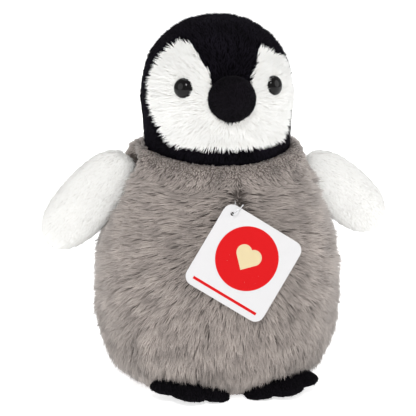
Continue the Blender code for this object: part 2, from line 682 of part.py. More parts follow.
def main():
    """Makes every piece of the toy."""
    grey = material("grey_plush", (0.35, 0.31, 0.285), 0.95)
    black = material("black_plush", (0.012, 0.011, 0.014), 0.9)
    white = material("white_plush", (0.86, 0.86, 0.82), 0.95)
    velour = material("black_velour", (0.012, 0.011, 0.014), 0.85)
    stuffing = material("polyester_stuffing", (0.85, 0.85, 0.84), 0.95)
    eye_plastic = material("eye_plastic", (0.01, 0.009, 0.008), 0.08)
    washer_plastic = material("washer_plastic", (0.6, 0.6, 0.58), 0.5)
    pouch_cloth = material("pouch_cloth", (0.75, 0.74, 0.7), 0.9)
    beads = material("granules", (0.8, 0.8, 0.78), 0.5)
    card_stock = material("tag_card_stock", (0.93, 0.92, 0.91), 0.45)
    nylon = material("clear_nylon", (0.88, 0.88, 0.88), 0.3)
    label_cloth = material("label_satin", (0.9, 0.9, 0.88), 0.6)

    build_body(grey, stuffing, pouch_cloth, beads, label_cloth)
    skin = smooth_through(millimetres(BODY_SKIN), SKIN_STEPS)
    around = inset(skin, -GAP)
    chain = [(0.0, skin[0][1]), *around, (BASE_RADIUS + 2 * GAP, 3 * MM), (BASE_RADIUS + 2 * GAP, -9 * MM),
             (0.0, -9 * MM)]
    envelope = cutter(turned("body_envelope_cutter", chain, depth_ratio=BODY_DEPTH_RATIO))
    for side in ("left", "right"):
        build_foot(side, velour, stuffing, envelope)
        build_flipper(side, white, stuffing)
    build_tag(card_stock, nylon)
    build_head(black, white, velour, stuffing, eye_plastic, washer_plastic)


for leftover in list(bpy.data.objects):
    bpy.data.objects.remove(leftover)
TOY = bpy.data.collections.new("plush_penguin")
CUTTERS = bpy.data.collections.new("plush_penguin_cutters")
for collection in (TOY, CUTTERS):
    bpy.context.scene.collection.children.link(collection)
main()
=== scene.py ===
"""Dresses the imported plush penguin: cloth skins, combed pile, eyes, beak, feet, hang tag and stage."""

import math

import bmesh
import bpy
import numpy as np
from mathutils import Matrix, Vector
from mathutils.kdtree import KDTree


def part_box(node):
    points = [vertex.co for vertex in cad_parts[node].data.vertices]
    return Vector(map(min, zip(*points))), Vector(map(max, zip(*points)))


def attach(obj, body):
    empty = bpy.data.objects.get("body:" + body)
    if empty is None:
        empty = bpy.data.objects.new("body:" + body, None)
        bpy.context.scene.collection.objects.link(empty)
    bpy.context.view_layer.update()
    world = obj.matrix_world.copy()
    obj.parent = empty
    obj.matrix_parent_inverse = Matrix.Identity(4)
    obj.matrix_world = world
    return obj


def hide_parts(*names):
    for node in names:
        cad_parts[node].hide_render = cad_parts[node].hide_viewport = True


bl_info = {
    "name": "Plush Penguin Looks",
    "version": (1, 0, 0),
    "blender": (4, 5, 0),
    "location": "View3D > Sidebar > Penguin",
    "description": "Sews the cloth, combs the pile and prints the tag of the plush penguin",
    "category": "Object",
}

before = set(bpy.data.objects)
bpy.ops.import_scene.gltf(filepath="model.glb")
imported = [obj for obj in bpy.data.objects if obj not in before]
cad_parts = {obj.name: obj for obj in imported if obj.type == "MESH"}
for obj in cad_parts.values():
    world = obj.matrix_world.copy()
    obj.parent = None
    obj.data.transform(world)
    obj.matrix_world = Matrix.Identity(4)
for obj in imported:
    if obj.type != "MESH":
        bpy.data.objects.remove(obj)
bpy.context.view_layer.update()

MM = 0.001
NECK_PIVOT = np.array((0.0, 0.0, 150.0))
SEAM_FOOT = np.array((1.5, -50.0, 92.0))
SEAM_TOP = np.array((1.5, -44.0, 121.0))
BEAK_ROOT = np.array((0.0, -39.0, 157.5))
EYE_TURN = math.radians(37.2)
EYE_TILT = math.radians(10.0)
EYE_REACH = 38.6
EYE_HEIGHT = 163.4
TAG_HOLE = (-3.2, -56.5, 102.2)
TAG_CENTRE = (5.2, -25.4)
TAG_LEAN = math.radians(9.0)
TAG_ROLL = math.radians(33.0)
BAND_TOP = 133.4
PILE_FLOOR = 0.25
SOFTNESS = 0.62  # how far a lock is shaded as the cloth under it
PAD_VOXEL = 5.0
PAD_PRESSURE = 4.0
PAD_FRAMES = 20
PEAK_LEFT = 178.8
PEAK_RIGHT = 184.6
FACE_EDGE = (
    (124.0, -34.0),
    (132.5, -26.5),
    (141.0, -20.0),
    (150.0, -14.5),
    (159.0, -11.0),
    (168.0, -10.5),
    (178.0, -13.5),
    (188.5, -20.5),
    (202.0, -25.0),
)
GUSSET_EDGE = (
    (124.0, -6.0),
    (145.0, -3.0),
    (147.5, 4.0),
    (151.0, 8.0),
    (158.0, 9.0),
    (171.0, 10.4),
    (175.0, 13.2),
    (180.0, 15.6),
    (185.5, 18.2),
    (190.0, 20.0),
    (202.0, 21.0),
)


# ---------------------------------------------------------------- settings


class PENGUIN_PG_pile(bpy.types.PropertyGroup):
    """How long and how close the pile of each cloth is."""

    body_length: bpy.props.FloatProperty(
        name="Body pile length", description="Length of the grey pile",
        default=0.0088, min=0.002, max=0.02, subtype="DISTANCE", unit="LENGTH")
    body_density: bpy.props.FloatProperty(
        name="Body locks", description="Grey locks on a square metre of cloth",
        default=2.6e6, min=1e4, max=5e6)
    head_length: bpy.props.FloatProperty(
        name="Head pile length", description="Length of the white and black pile on the head",
        default=0.0046, min=0.001, max=0.012, subtype="DISTANCE", unit="LENGTH")
    head_density: bpy.props.FloatProperty(
        name="Head locks", description="Locks on a square metre of the head's cloth",
        default=2.3e6, min=1e4, max=5e6)
    flipper_length: bpy.props.FloatProperty(
        name="Flipper pile length", description="Length of the short pile on the flippers",
        default=0.0026, min=0.0005, max=0.008, subtype="DISTANCE", unit="LENGTH")
    flipper_density: bpy.props.FloatProperty(
        name="Flipper locks", description="Locks on a square metre of the flippers' cloth",
        default=2.6e6, min=1e4, max=8e6)
    velour_length: bpy.props.FloatProperty(
        name="Velour length", description="Length of the nap on the beak and feet",
        default=0.0011, min=0.0002, max=0.004, subtype="DISTANCE", unit="LENGTH")
    velour_density: bpy.props.FloatProperty(
        name="Velour tufts", description="Tufts on a square metre of velour",
        default=3.0e6, min=1e4, max=8e6)


def colour_property(name, description, default):
    """A colour that a user can change, in linear red, green and blue."""
    return bpy.props.FloatVectorProperty(
        name=name, description=description, default=default,
        size=3, min=0.0, max=1.0, subtype="COLOR")


class PENGUIN_PG_colours(bpy.types.PropertyGroup):
    """The colours of the cloths, the plastics and the tag."""

    # Each pile's root colour is darker than its tip colour: painted shade, standing for the shadow deep
    # inside the pile and on the cloth under it.
    grey_root: colour_property("Grey root", "Grey pile at the cloth", (0.118, 0.098, 0.088))
    grey_tip: colour_property("Grey tip", "Grey pile at its tips", (0.375, 0.330, 0.302))
    white_root: colour_property("White root", "White pile at the cloth", (0.84, 0.83, 0.80))
    white_tip: colour_property("White tip", "White pile at its tips", (0.86, 0.86, 0.84))
    black_root: colour_property("Black root", "Black pile at the cloth", (0.0012, 0.0010, 0.0016))
    black_tip: colour_property("Black tip", "Black pile at its tips", (0.0065, 0.0055, 0.0085))
    velour_root: colour_property("Velour root", "Black nap at the cloth", (0.002, 0.0018, 0.0024))
    velour_tip: colour_property("Velour tip", "Black nap at its tips", (0.010, 0.008, 0.012))
    tag_red: colour_property("Tag red", "Ink on the hang tag", (0.53, 0.004, 0.006))
    tag_white: colour_property("Tag white", "Card of the hang tag", (0.60, 0.595, 0.60))


# ---------------------------------------------------------------- node helpers


def add_node(tree, kind, values=None, **settings):
    """A new node with its settings and its unlinked input values."""
    made = tree.nodes.new(kind)
    for key, value in settings.items():
        setattr(made, key, value)
    for key, value in (values or {}).items():
        made.inputs[key].default_value = value
    return made


def wire(tree, *pairs):
    """Links each (output, input) pair."""
    for source, target in pairs:
        tree.links.new(source, target)


def math_node(tree, operation, first, second=None, third=None, clamp=False):
    """A Math node fed by sockets or numbers; gives its output."""
    made = add_node(tree, "ShaderNodeMath", operation=operation, use_clamp=clamp)
    for place, value in enumerate((first, second, third)):
        if isinstance(value, bpy.types.NodeSocket):
            tree.links.new(value, made.inputs[place])
        elif value is not None:
            made.inputs[place].default_value = value
    return made.outputs[0]


def vector_node(tree, operation, first, second=None, scale=None):
    """A Vector Math node fed by sockets or vectors; gives its first output."""
    made = add_node(tree, "ShaderNodeVectorMath", operation=operation)
    for place, value in enumerate((first, second)):
        if isinstance(value, bpy.types.NodeSocket):
            tree.links.new(value, made.inputs[place])
        elif value is not None:
            made.inputs[place].default_value = value
    if isinstance(scale, bpy.types.NodeSocket):
        tree.links.new(scale, made.inputs["Scale"])
    elif scale is not None:
        made.inputs["Scale"].default_value = scale
    return made.outputs["Value"] if operation in ("DOT_PRODUCT", "LENGTH") else made.outputs[0]


def new_group(name, kind, inputs, outputs):
    """An empty node group with named sockets; gives it with its input and output nodes."""
    tree = bpy.data.node_groups.new(name, kind)
    for label, socket, default in inputs:
        made = tree.interface.new_socket(name=label, in_out="INPUT", socket_type=socket)
        if default is not None:
            made.default_value = default
    for label, socket in outputs:
        tree.interface.new_socket(name=label, in_out="OUTPUT", socket_type=socket)
    return tree, tree.nodes.new("NodeGroupInput"), tree.nodes.new("NodeGroupOutput")


# ---------------------------------------------------------------- pile


def lock_shape(name, curl, waist, twist):
    """One lock: a closed three-sided spike, a unit high, whose tip curls towards +X."""
    rings = ((0.0, 0.85), (0.5, waist))
    bm = bmesh.new()
    uv = bm.loops.layers.uv.new("OFBake")
    levels = []
    for height, half in rings:
        ring = []
        for corner in range(3):
            angle = 2 * math.pi * corner / 3 + twist * height
            x = curl * height**2 + half * math.cos(angle)
            ring.append(bm.verts.new((x, half * math.sin(angle), height)))
        levels.append(ring)
    tip = bm.verts.new((curl, 0.0, 1.0))
    low, high = levels
    faces = [(low[2], low[1], low[0])]
    for corner in range(3):
        after = (corner + 1) % 3
        faces.append((low[corner], low[after], high[after], high[corner]))
        faces.append((high[corner], high[after], tip))
    width = 0.006
    spread = {3: ((-width, 0.0), (width, 0.0), (0.0, 0.04)), 4: (-width, width, width, -width)}
    for corners in faces:
        face = bm.faces.new(corners)
        face.smooth = True
        for place, loop in enumerate(face.loops):
            height = loop.vert.co.z
            if len(corners) == 4:
                loop[uv].uv = (spread[4][place], height)
            elif corners[2] is tip:
                loop[uv].uv = ((-width, width, 0.0)[place], height)
            else:
                loop[uv].uv = spread[3][place]
    mesh = bpy.data.meshes.new(name)
    bm.to_mesh(mesh)
    bm.free()
    return bpy.data.objects.new(name, mesh)


def lock_shapes():
    """The collection of lock shapes that every pile draws from."""
    found = bpy.data.collections.get("Lock Shapes")
    if found:
        return found
    found = bpy.data.collections.new("Lock Shapes")
    for place, (curl, waist, twist) in enumerate(
        ((2.6, 0.72, 0.5), (1.2, 0.66, -0.7), (4.2, 0.7, 0.9), (0.2, 0.62, -0.3))
    ):
        found.objects.link(lock_shape(f"lock_{place + 1}", curl, waist, twist))
    return found


def pile_tree():
    """The Geometry Nodes tree that plants combed locks on a cloth skin."""
    found = bpy.data.node_groups.get("Combed Pile")
    if found:
        return found
    tree, start, end = new_group(
        "Combed Pile",
        "GeometryNodeTree",
        (
            ("Cloth", "NodeSocketGeometry", None),
            ("Locks", "NodeSocketCollection", None),
            ("Density", "NodeSocketFloat", 1e6),
            ("Seed", "NodeSocketInt", 1),
            ("Length", "NodeSocketFloat", 0.006),
            ("Width", "NodeSocketFloat", 0.0004),
            ("Stray", "NodeSocketFloat", 0.5),
            ("Clump Size", "NodeSocketFloat", 0.004),
            ("Clump Pull", "NodeSocketFloat", 0.5),
            ("Patch Size", "NodeSocketFloat", 0.02),
            ("Zone Side", "NodeSocketFloat", 0.0),
            ("Zone Blend", "NodeSocketFloat", 0.0003),
            ("Quarter", "NodeSocketVector", (0.0, 0.0, 0.0)),
            ("Level", "NodeSocketFloat", 0.0),
            ("Floor", "NodeSocketFloat", 0.0),
            ("Material", "NodeSocketMaterial", None),
        ),
        (("Pile", "NodeSocketGeometry"),),
    )
    given = start.outputs

    def named(label, kind):
        made = add_node(tree, "GeometryNodeInputNamedAttribute", {"Name": label}, data_type=kind)
        return made.outputs["Attribute"]

    def between(low, high, seed, kind="FLOAT"):
        made = add_node(tree, "FunctionNodeRandomValue", data_type=kind)
        sockets = [s for s in made.inputs if s.enabled]
        sockets[0].default_value = low
        sockets[1].default_value = high
        made.inputs["Seed"].default_value = seed
        return [s for s in made.outputs if s.enabled][0]

    plant = add_node(tree, "GeometryNodeDistributePointsOnFaces", distribute_method="RANDOM")
    amount = math_node(tree, "MULTIPLY", given["Density"], named("pile", "FLOAT"))
    wire(
        tree,
        (given["Cloth"], plant.inputs["Mesh"]),
        (amount, plant.inputs["Density"]),
        (given["Seed"], plant.inputs["Seed"]),
    )
    place = tree.nodes.new("GeometryNodeInputPosition").outputs[0]
    split = add_node(tree, "ShaderNodeSeparateXYZ")
    side = add_node(tree, "ShaderNodeSeparateXYZ")
    wire(tree, (place, split.inputs[0]), (given["Quarter"], side.inputs[0]))
    across = math_node(tree, "MULTIPLY", split.outputs["X"], side.outputs["X"])
    along = math_node(tree, "MULTIPLY", split.outputs["Y"], side.outputs["Y"])
    ragged = math_node(tree, "MULTIPLY", between(-1.0, 1.0, 11), given["Zone Blend"])
    zone = math_node(tree, "ADD", named("zone", "FLOAT"), ragged)
    zone = math_node(tree, "MULTIPLY", zone, given["Zone Side"])
    level = math_node(tree, "SUBTRACT", split.outputs["Z"], given["Level"])
    level = math_node(tree, "MULTIPLY", level, side.outputs["Z"])
    outside = math_node(tree, "MINIMUM", math_node(tree, "MINIMUM", across, along), zone)
    outside = math_node(tree, "MINIMUM", outside, level)
    cull = add_node(tree, "GeometryNodeDeleteGeometry", domain="POINT")
    wire(
        tree,
        (plant.outputs["Points"], cull.inputs["Geometry"]),
        (math_node(tree, "LESS_THAN", outside, 0.0), cull.inputs["Selection"]),
    )

    clump_scale = math_node(tree, "DIVIDE", 1.0, given["Clump Size"])
    patch_scale = math_node(tree, "DIVIDE", 1.0, given["Patch Size"])
    clump = add_node(tree, "ShaderNodeTexVoronoi", voronoi_dimensions="3D", feature="F1")
    patch = add_node(tree, "ShaderNodeTexNoise", {"Detail": 2.0}, noise_dimensions="3D")
    swirl = add_node(tree, "ShaderNodeTexNoise", {"Detail": 1.0}, noise_dimensions="3D")
    swirl_scale = math_node(tree, "MULTIPLY", clump_scale, 0.45)
    wire(
        tree,
        (clump_scale, clump.inputs["Scale"]),
        (patch_scale, patch.inputs["Scale"]),
        (swirl_scale, swirl.inputs["Scale"]),
    )
    pull = vector_node(tree, "SUBTRACT", clump.outputs["Position"], place)
    pull = vector_node(
        tree, "SCALE", pull, scale=math_node(tree, "MULTIPLY", clump_scale, given["Clump Pull"])
    )
    drift = vector_node(tree, "SUBTRACT", swirl.outputs["Color"], (0.5, 0.5, 0.5))
    drift = vector_node(tree, "SCALE", drift, scale=math_node(tree, "MULTIPLY", given["Stray"], 4.0))
    loose = vector_node(
        tree, "SCALE", between((-1, -1, -1), (1, 1, 1), 21, "FLOAT_VECTOR"), scale=given["Stray"]
    )
    lean = vector_node(tree, "ADD", named("comb", "FLOAT_VECTOR"), pull)
    lean = vector_node(tree, "ADD", lean, drift)
    lean = vector_node(tree, "ADD", lean, vector_node(tree, "SCALE", loose, scale=0.55))
    normal = plant.outputs["Normal"]
    upward = vector_node(
        tree, "SCALE", normal, scale=vector_node(tree, "DOT_PRODUCT", lean, normal)
    )
    lean = vector_node(tree, "SUBTRACT", lean, upward)
    rise = vector_node(tree, "NORMALIZE", vector_node(tree, "ADD", normal, lean))
    turn = add_node(
        tree, "FunctionNodeAxesToRotation", primary_axis="Z", secondary_axis="X"
    )
    wire(tree, (rise, turn.inputs[0]), (lean, turn.inputs[1]))

    facing = add_node(
        tree, "GeometryNodeStoreNamedAttribute", {"Name": "facing"},
        data_type="FLOAT_VECTOR", domain="POINT",
    )
    wire(tree, (cull.outputs[0], facing.inputs["Geometry"]), (normal, facing.inputs["Value"]))

    tone = math_node(tree, "SUBTRACT", patch.outputs[0], 0.5)
    tone = math_node(tree, "MULTIPLY_ADD", tone, 1.5, 0.5)
    tone = math_node(tree, "ADD", tone, between(-0.2, 0.2, 31))
    tone = math_node(tree, "ADD", tone, math_node(
        tree, "MULTIPLY_ADD", clump.outputs["Color"], 0.24, -0.12))
    tone = math_node(tree, "MINIMUM", math_node(tree, "MAXIMUM", tone, 0.02), 0.98)
    keep = add_node(
        tree, "GeometryNodeStoreNamedAttribute", {"Name": "tone"}, data_type="FLOAT", domain="POINT"
    )
    wire(tree, (facing.outputs[0], keep.inputs["Geometry"]), (tone, keep.inputs["Value"]))

    size = math_node(tree, "MULTIPLY", given["Length"], named("long", "FLOAT"))
    size = math_node(tree, "MULTIPLY", size, between(0.72, 1.18, 41))
    width = math_node(tree, "MULTIPLY", given["Width"], between(0.75, 1.25, 51))
    scale = add_node(tree, "ShaderNodeCombineXYZ")
    wire(
        tree,
        (width, scale.inputs["X"]),
        (width, scale.inputs["Y"]),
        (size, scale.inputs["Z"]),
    )
    shapes = add_node(
        tree, "GeometryNodeCollectionInfo", {"Separate Children": True, "Reset Children": True}
    )
    spread = add_node(tree, "GeometryNodeInstanceOnPoints", {"Pick Instance": True})
    wire(
        tree,
        (given["Locks"], shapes.inputs["Collection"]),
        (keep.outputs[0], spread.inputs["Points"]),
        (shapes.outputs[0], spread.inputs["Instance"]),
        (between(0, 3, 61, "INT"), spread.inputs["Instance Index"]),
        (turn.outputs[0], spread.inputs["Rotation"]),
        (scale.outputs[0], spread.inputs["Scale"]),
    )
    solid = tree.nodes.new("GeometryNodeRealizeInstances")
    chart = add_node(tree, "ShaderNodeCombineXYZ")
    drawn = add_node(tree, "ShaderNodeSeparateXYZ")
    store = add_node(
        tree, "GeometryNodeStoreNamedAttribute", {"Name": "OFBake"}, data_type="FLOAT2", domain="CORNER"
    )
    wire(
        tree,
        (spread.outputs[0], solid.inputs[0]),
        (named("OFBake", "FLOAT_VECTOR"), drawn.inputs[0]),
        (math_node(tree, "ADD", named("tone", "FLOAT"), drawn.outputs["X"]), chart.inputs["X"]),
        (drawn.outputs["Y"], chart.inputs["Y"]),
        (solid.outputs[0], store.inputs["Geometry"]),
        (chart.outputs[0], store.inputs["Value"]),
    )
    rest = add_node(tree, "GeometryNodeSetPosition")
    spot = tree.nodes.new("GeometryNodeInputPosition").outputs[0]
    parts = add_node(tree, "ShaderNodeSeparateXYZ")
    whole = add_node(tree, "ShaderNodeCombineXYZ")
    paint = tree.nodes.new("GeometryNodeSetMaterial")
    wire(
        tree,
        (spot, parts.inputs[0]),
        (parts.outputs["X"], whole.inputs["X"]),
        (parts.outputs["Y"], whole.inputs["Y"]),
        (math_node(tree, "MAXIMUM", parts.outputs["Z"], given["Floor"]), whole.inputs["Z"]),
        (store.outputs[0], rest.inputs["Geometry"]),
        (whole.outputs[0], rest.inputs["Position"]),
        (rest.outputs[0], paint.inputs["Geometry"]),
        (given["Material"], paint.inputs["Material"]),
        (paint.outputs[0], end.inputs[0]),
    )
    return tree


def soften(mesh):
    """Shades each lock partly as the cloth under it, the way light spreads through a deep pile."""
    count = len(mesh.vertices)
    own = np.zeros(count * 3, np.float32)
    below = np.zeros(count * 3, np.float32)
    mesh.vertices.foreach_get("normal", own)
    mesh.attributes["facing"].data.foreach_get("vector", below)
    mixed = unit(own.reshape(-1, 3) * (1.0 - SOFTNESS) + below.reshape(-1, 3) * SOFTNESS)
    mesh.normals_split_custom_set_from_vertices(mixed.tolist())


def grow_pile(name, skin, body, settings):
    """Plants locks on the skin and leaves them as one plain mesh that rides on the body."""
    tree = pile_tree()
    holder = bpy.data.objects.new(name + "_rooted", skin.data)
    bpy.context.scene.collection.objects.link(holder)
    planted = holder.modifiers.new("Pile", "NODES")
    planted.node_group = tree
    keys = {item.name: item.identifier for item in tree.interface.items_tree if item.in_out == "INPUT"}
    planted[keys["Locks"]] = lock_shapes()
    for label, value in settings.items():
        planted[keys[label]] = value
    graph = bpy.context.evaluated_depsgraph_get()
    mesh = bpy.data.meshes.new_from_object(holder.evaluated_get(graph))
    bpy.data.objects.remove(holder)
    if not mesh.polygons:
        raise RuntimeError(f"{name}: no pile grew")
    mesh.name = name
    mesh.materials.clear()
    mesh.materials.append(settings["Material"])
    soften(mesh)
    pile = bpy.data.objects.new(name, mesh)
    bpy.context.scene.collection.objects.link(pile)
    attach(pile, body)
    return pile


def smooth(low, high, value):
    """0 below low, 1 above high, with a smooth step between."""
    t = np.clip((value - low) / (high - low), 0.0, 1.0)
    return t * t * (3.0 - 2.0 * t)


def unit(vectors):
    """Each row at length one."""
    return vectors / np.maximum(np.linalg.norm(vectors, axis=1, keepdims=True), 1e-9)


def along_skin(vectors, normals):
    """Each row laid into the skin's surface, at length one."""
    return unit(vectors - normals * np.sum(vectors * normals, axis=1, keepdims=True))


def skin_arrays(skin):
    """The skin's points in millimetres and its outward normals."""
    count = len(skin.data.vertices)
    points = np.zeros(count * 3)
    normals = np.zeros(count * 3)
    skin.data.vertices.foreach_get("co", points)
    skin.data.vertices.foreach_get("normal", normals)
    return points.reshape(-1, 3) / MM, normals.reshape(-1, 3)


def write_pile(skin, comb, pile, long, zone=None):
    """Stores on the skin which way its pile lies, where it grows, and how long it is."""
    zone = np.ones(len(comb)) if zone is None else zone
    for label, kind, values in (
        ("comb", "FLOAT_VECTOR", comb),
        ("pile", "FLOAT", pile),
        ("long", "FLOAT", long),
        ("zone", "FLOAT", zone),
    ):
        made = skin.data.attributes.new(label, kind, "POINT")
        flat = np.ascontiguousarray(values, dtype=np.float32).ravel()
        made.data.foreach_set("vector" if kind == "FLOAT_VECTOR" else "value", flat)


# ---------------------------------------------------------------- cloth skins


def evaluated_mesh(obj):
    """A plain mesh of the object with its modifiers applied."""
    graph = bpy.context.evaluated_depsgraph_get()
    return bpy.data.meshes.new_from_object(obj.evaluated_get(graph))


def outer_shell(mesh):
    """Keeps only the loose part of the mesh that spans the most, so no inner wall is left."""
    bm = bmesh.new()
    bm.from_mesh(mesh)
    bm.verts.ensure_lookup_table()
    seen = set()
    groups = []
    for first in bm.verts:
        if first.index in seen:
            continue
        seen.add(first.index)
        group = [first]
        for vert in group:
            for edge in vert.link_edges:
                other = edge.other_vert(vert)
                if other.index not in seen:
                    seen.add(other.index)
                    group.append(other)
        groups.append(group)
    groups.sort(key=len)
    for group in groups[:-1]:
        bmesh.ops.delete(bm, geom=group, context="VERTS")
    bmesh.ops.recalc_face_normals(bm, faces=bm.faces)
    bm.to_mesh(mesh)
    bm.free()


def sew_skin(name, nodes, voxel, rounds):
    """One closed cloth skin round the CAD nodes that it stands for."""
    bm = bmesh.new()
    for node in nodes:
        bm.from_mesh(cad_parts[node].data)
    bmesh.ops.remove_doubles(bm, verts=bm.verts, dist=1e-6)
    mesh = bpy.data.meshes.new(name)
    bm.to_mesh(mesh)
    bm.free()
    skin = bpy.data.objects.new(name, mesh)
    bpy.context.scene.collection.objects.link(skin)
    remesh = skin.modifiers.new("Remesh", "REMESH")
    remesh.mode = "VOXEL"
    remesh.voxel_size = voxel * MM
    skin.data = evaluated_mesh(skin)
    skin.modifiers.clear()
    outer_shell(skin.data)
    if rounds:
        ease = skin.modifiers.new("Smooth", "LAPLACIANSMOOTH")
        ease.iterations = rounds
        ease.lambda_factor = 0.6
        ease.lambda_border = 0.0
        skin.data = evaluated_mesh(skin)
        skin.modifiers.clear()
    puff = skin.modifiers.new("Puff", "DISPLACE")
    puff.strength = 0.3 * MM
    puff.mid_level = 0.0
    skin.data = evaluated_mesh(skin)
    skin.modifiers.clear()
    skin.data.name = name
    for vertex in skin.data.vertices:
        vertex.co.z = max(vertex.co.z, 0.0)
    for polygon in skin.data.polygons:
        polygon.use_smooth = True
    return skin


def slacken(skin, depth, free):
    """Draws the cloth in by depth, for good, where it is free; a negative depth lets it out."""
    inward = [vertex.normal * -depth * MM for vertex in skin.data.vertices]
    for vertex, step, share in zip(skin.data.vertices, inward, free):
        vertex.co = vertex.co + step * float(share)
    skin.data.update()


def inflate(skin, cap, free):
    """Lets pressure settle the cloth, no further than cap, where it is free to move.

    At this size and cloth weight it moves by under a tenth of a millimetre on the flippers and
    head, and does not swell the body, so the skin's shape comes from how it was sewn.
    """
    scene = bpy.context.scene
    pad = bpy.data.objects.new("pad", skin.data.copy())
    scene.collection.objects.link(pad)
    remesh = pad.modifiers.new("Remesh", "REMESH")
    remesh.mode = "VOXEL"
    remesh.voxel_size = PAD_VOXEL * MM
    pad.data = evaluated_mesh(pad)
    pad.modifiers.clear()
    rest = np.zeros(len(pad.data.vertices) * 3, np.float32)
    pad.data.vertices.foreach_get("co", rest)
    rest = rest.reshape(-1, 3)
    cloth = pad.modifiers.new("Cloth", "CLOTH")
    cloth.settings.use_pressure = True
    cloth.settings.uniform_pressure_force = PAD_PRESSURE
    cloth.settings.effector_weights.gravity = 0.0
    cloth.point_cache.frame_start = 1
    cloth.point_cache.frame_end = PAD_FRAMES
    for frame_number in range(1, PAD_FRAMES + 1):
        scene.frame_set(frame_number)
    swollen = evaluated_mesh(pad)
    moved = np.zeros(len(rest) * 3, np.float32)
    swollen.vertices.foreach_get("co", moved)
    moved = moved.reshape(-1, 3) - rest
    size = np.linalg.norm(moved, axis=1, keepdims=True)
    moved = moved * np.minimum(1.0, cap * MM / np.maximum(size, 1e-9))
    tree = KDTree(len(rest))
    for index, place in enumerate(rest):
        tree.insert(place, index)
    tree.balance()
    for vertex, share in zip(skin.data.vertices, free):
        if share > 0.0:
            near = tree.find_n(vertex.co, 4)
            weights = [1.0 / (distance + 0.5 * MM) for _, _, distance in near]
            push = sum(moved[index] * weight for (_, index, _), weight in zip(near, weights))
            vertex.co = vertex.co + Vector(push / sum(weights)) * float(share)
            vertex.co.z = max(vertex.co.z, 0.0)
    skin.data.update()
    scene.frame_set(1)
    bpy.data.objects.remove(pad)


def dress(skin, body, material, replaced):
    """Puts the material on a finished skin and hands it to the frame."""
    skin.data.materials.clear()
    skin.data.materials.append(material)
    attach(skin, body)
    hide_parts(*replaced)


# ---------------------------------------------------------------- materials


def pile_tone_group():
    """Shader group: the colour of a lock from its own tone and the place along it, darker towards the root as
    painted shade deep in the pile.
    """
    found = bpy.data.node_groups.get("Pile Tone")
    if found:
        return found
    tree, start, end = new_group(
        "Pile Tone",
        "ShaderNodeTree",
        (
            ("Tone", "NodeSocketFloat", 0.5),
            ("Along", "NodeSocketFloat", 0.5),
            ("Root", "NodeSocketColor", (0.1, 0.1, 0.1, 1.0)),
            ("Tip", "NodeSocketColor", (0.4, 0.4, 0.4, 1.0)),
            ("Spread", "NodeSocketFloat", 0.5),
        ),
        (("Color", "NodeSocketColor"), ("Roughness", "NodeSocketFloat")),
    )
    given = start.outputs
    # From root to tip: the darker root colour is painted shade inside the pile.
    fade = add_node(tree, "ShaderNodeMapRange", {"From Min": 0.05, "From Max": 0.8})
    fade.interpolation_type = "SMOOTHSTEP"
    blend = add_node(tree, "ShaderNodeMix", data_type="RGBA")
    level = math_node(tree, "SUBTRACT", given["Tone"], 0.5)
    level = math_node(tree, "MULTIPLY", level, given["Spread"])
    level = math_node(tree, "MULTIPLY_ADD", level, 2.0, 1.0)
    shade = vector_node(tree, "SCALE", blend.outputs[2], scale=level)
    rough = math_node(tree, "MULTIPLY_ADD", given["Tone"], 0.12, 0.72)
    wire(
        tree,
        (given["Along"], fade.inputs["Value"]),
        (fade.outputs[0], blend.inputs[0]),
        (given["Root"], blend.inputs[6]),
        (given["Tip"], blend.inputs[7]),
        (shade, end.inputs["Color"]),
        (rough, end.inputs["Roughness"]),
    )
    return tree


def plain_material(name):
    """A new node material; gives it with its tree and its Principled BSDF."""
    material = bpy.data.materials.new(name)
    material.use_nodes = True
    tree = material.node_tree
    return material, tree, tree.nodes["Principled BSDF"]


def pile_material(name, root, tip, spread, sheen, specular=0.2):
    """The finish of one pile, read from each lock's own chart."""
    found = bpy.data.materials.get(name)
    if found:
        return found
    material, tree, shader = plain_material(name)
    chart = add_node(tree, "ShaderNodeUVMap", uv_map="OFBake")
    split = add_node(tree, "ShaderNodeSeparateXYZ")
    tone = add_node(tree, "ShaderNodeGroup", node_tree=pile_tone_group())
    # The root colour is set darker than the tip: painted shade deep in the pile.
    tone.inputs["Root"].default_value = (*root, 1.0)
    tone.inputs["Tip"].default_value = (*tip, 1.0)
    tone.inputs["Spread"].default_value = spread
    wire(
        tree,
        (chart.outputs[0], split.inputs[0]),
        (split.outputs["X"], tone.inputs["Tone"]),
        (split.outputs["Y"], tone.inputs["Along"]),
        (tone.outputs["Color"], shader.inputs["Base Color"]),
    )
    wire(tree, (tone.outputs["Roughness"], shader.inputs["Roughness"]))
    shader.inputs["Specular IOR Level"].default_value = specular
    shader.inputs["Sheen Weight"].default_value = sheen
    shader.inputs["Sheen Roughness"].default_value = 0.5
    return material


def knit_group():
    """Shader group: the knitted backing that carries a pile, as a shade and a height."""
    found = bpy.data.node_groups.get("Knit Backing")
    if found:
        return found
    tree, start, end = new_group(
        "Knit Backing",
        "ShaderNodeTree",
        (
            ("Loops", "NodeSocketFloat", 900.0),
            ("Base", "NodeSocketColor", (0.1, 0.1, 0.1, 1.0)),
            ("Variation", "NodeSocketFloat", 0.4),
        ),
        (("Color", "NodeSocketColor"), ("Height", "NodeSocketFloat")),
    )
    given = start.outputs
    coordinates = tree.nodes.new("ShaderNodeTexCoord").outputs["Object"]
    cells = add_node(tree, "ShaderNodeTexVoronoi", feature="F1")
    cloud = add_node(tree, "ShaderNodeTexNoise", {"Scale": 160.0, "Detail": 3.0})
    level = math_node(tree, "SUBTRACT", cloud.outputs[0], 0.5)
    level = math_node(tree, "MULTIPLY", level, given["Variation"])
    dip = math_node(tree, "MULTIPLY", cells.outputs["Distance"], -0.3)
    level = math_node(tree, "ADD", math_node(tree, "MULTIPLY_ADD", level, 2.0, 1.1), dip)
    wire(
        tree,
        (coordinates, cells.inputs["Vector"]),
        (coordinates, cloud.inputs["Vector"]),
        (given["Loops"], cells.inputs["Scale"]),
        (vector_node(tree, "SCALE", given["Base"], scale=level), end.inputs["Color"]),
        (cells.outputs["Distance"], end.inputs["Height"]),
    )
    return tree


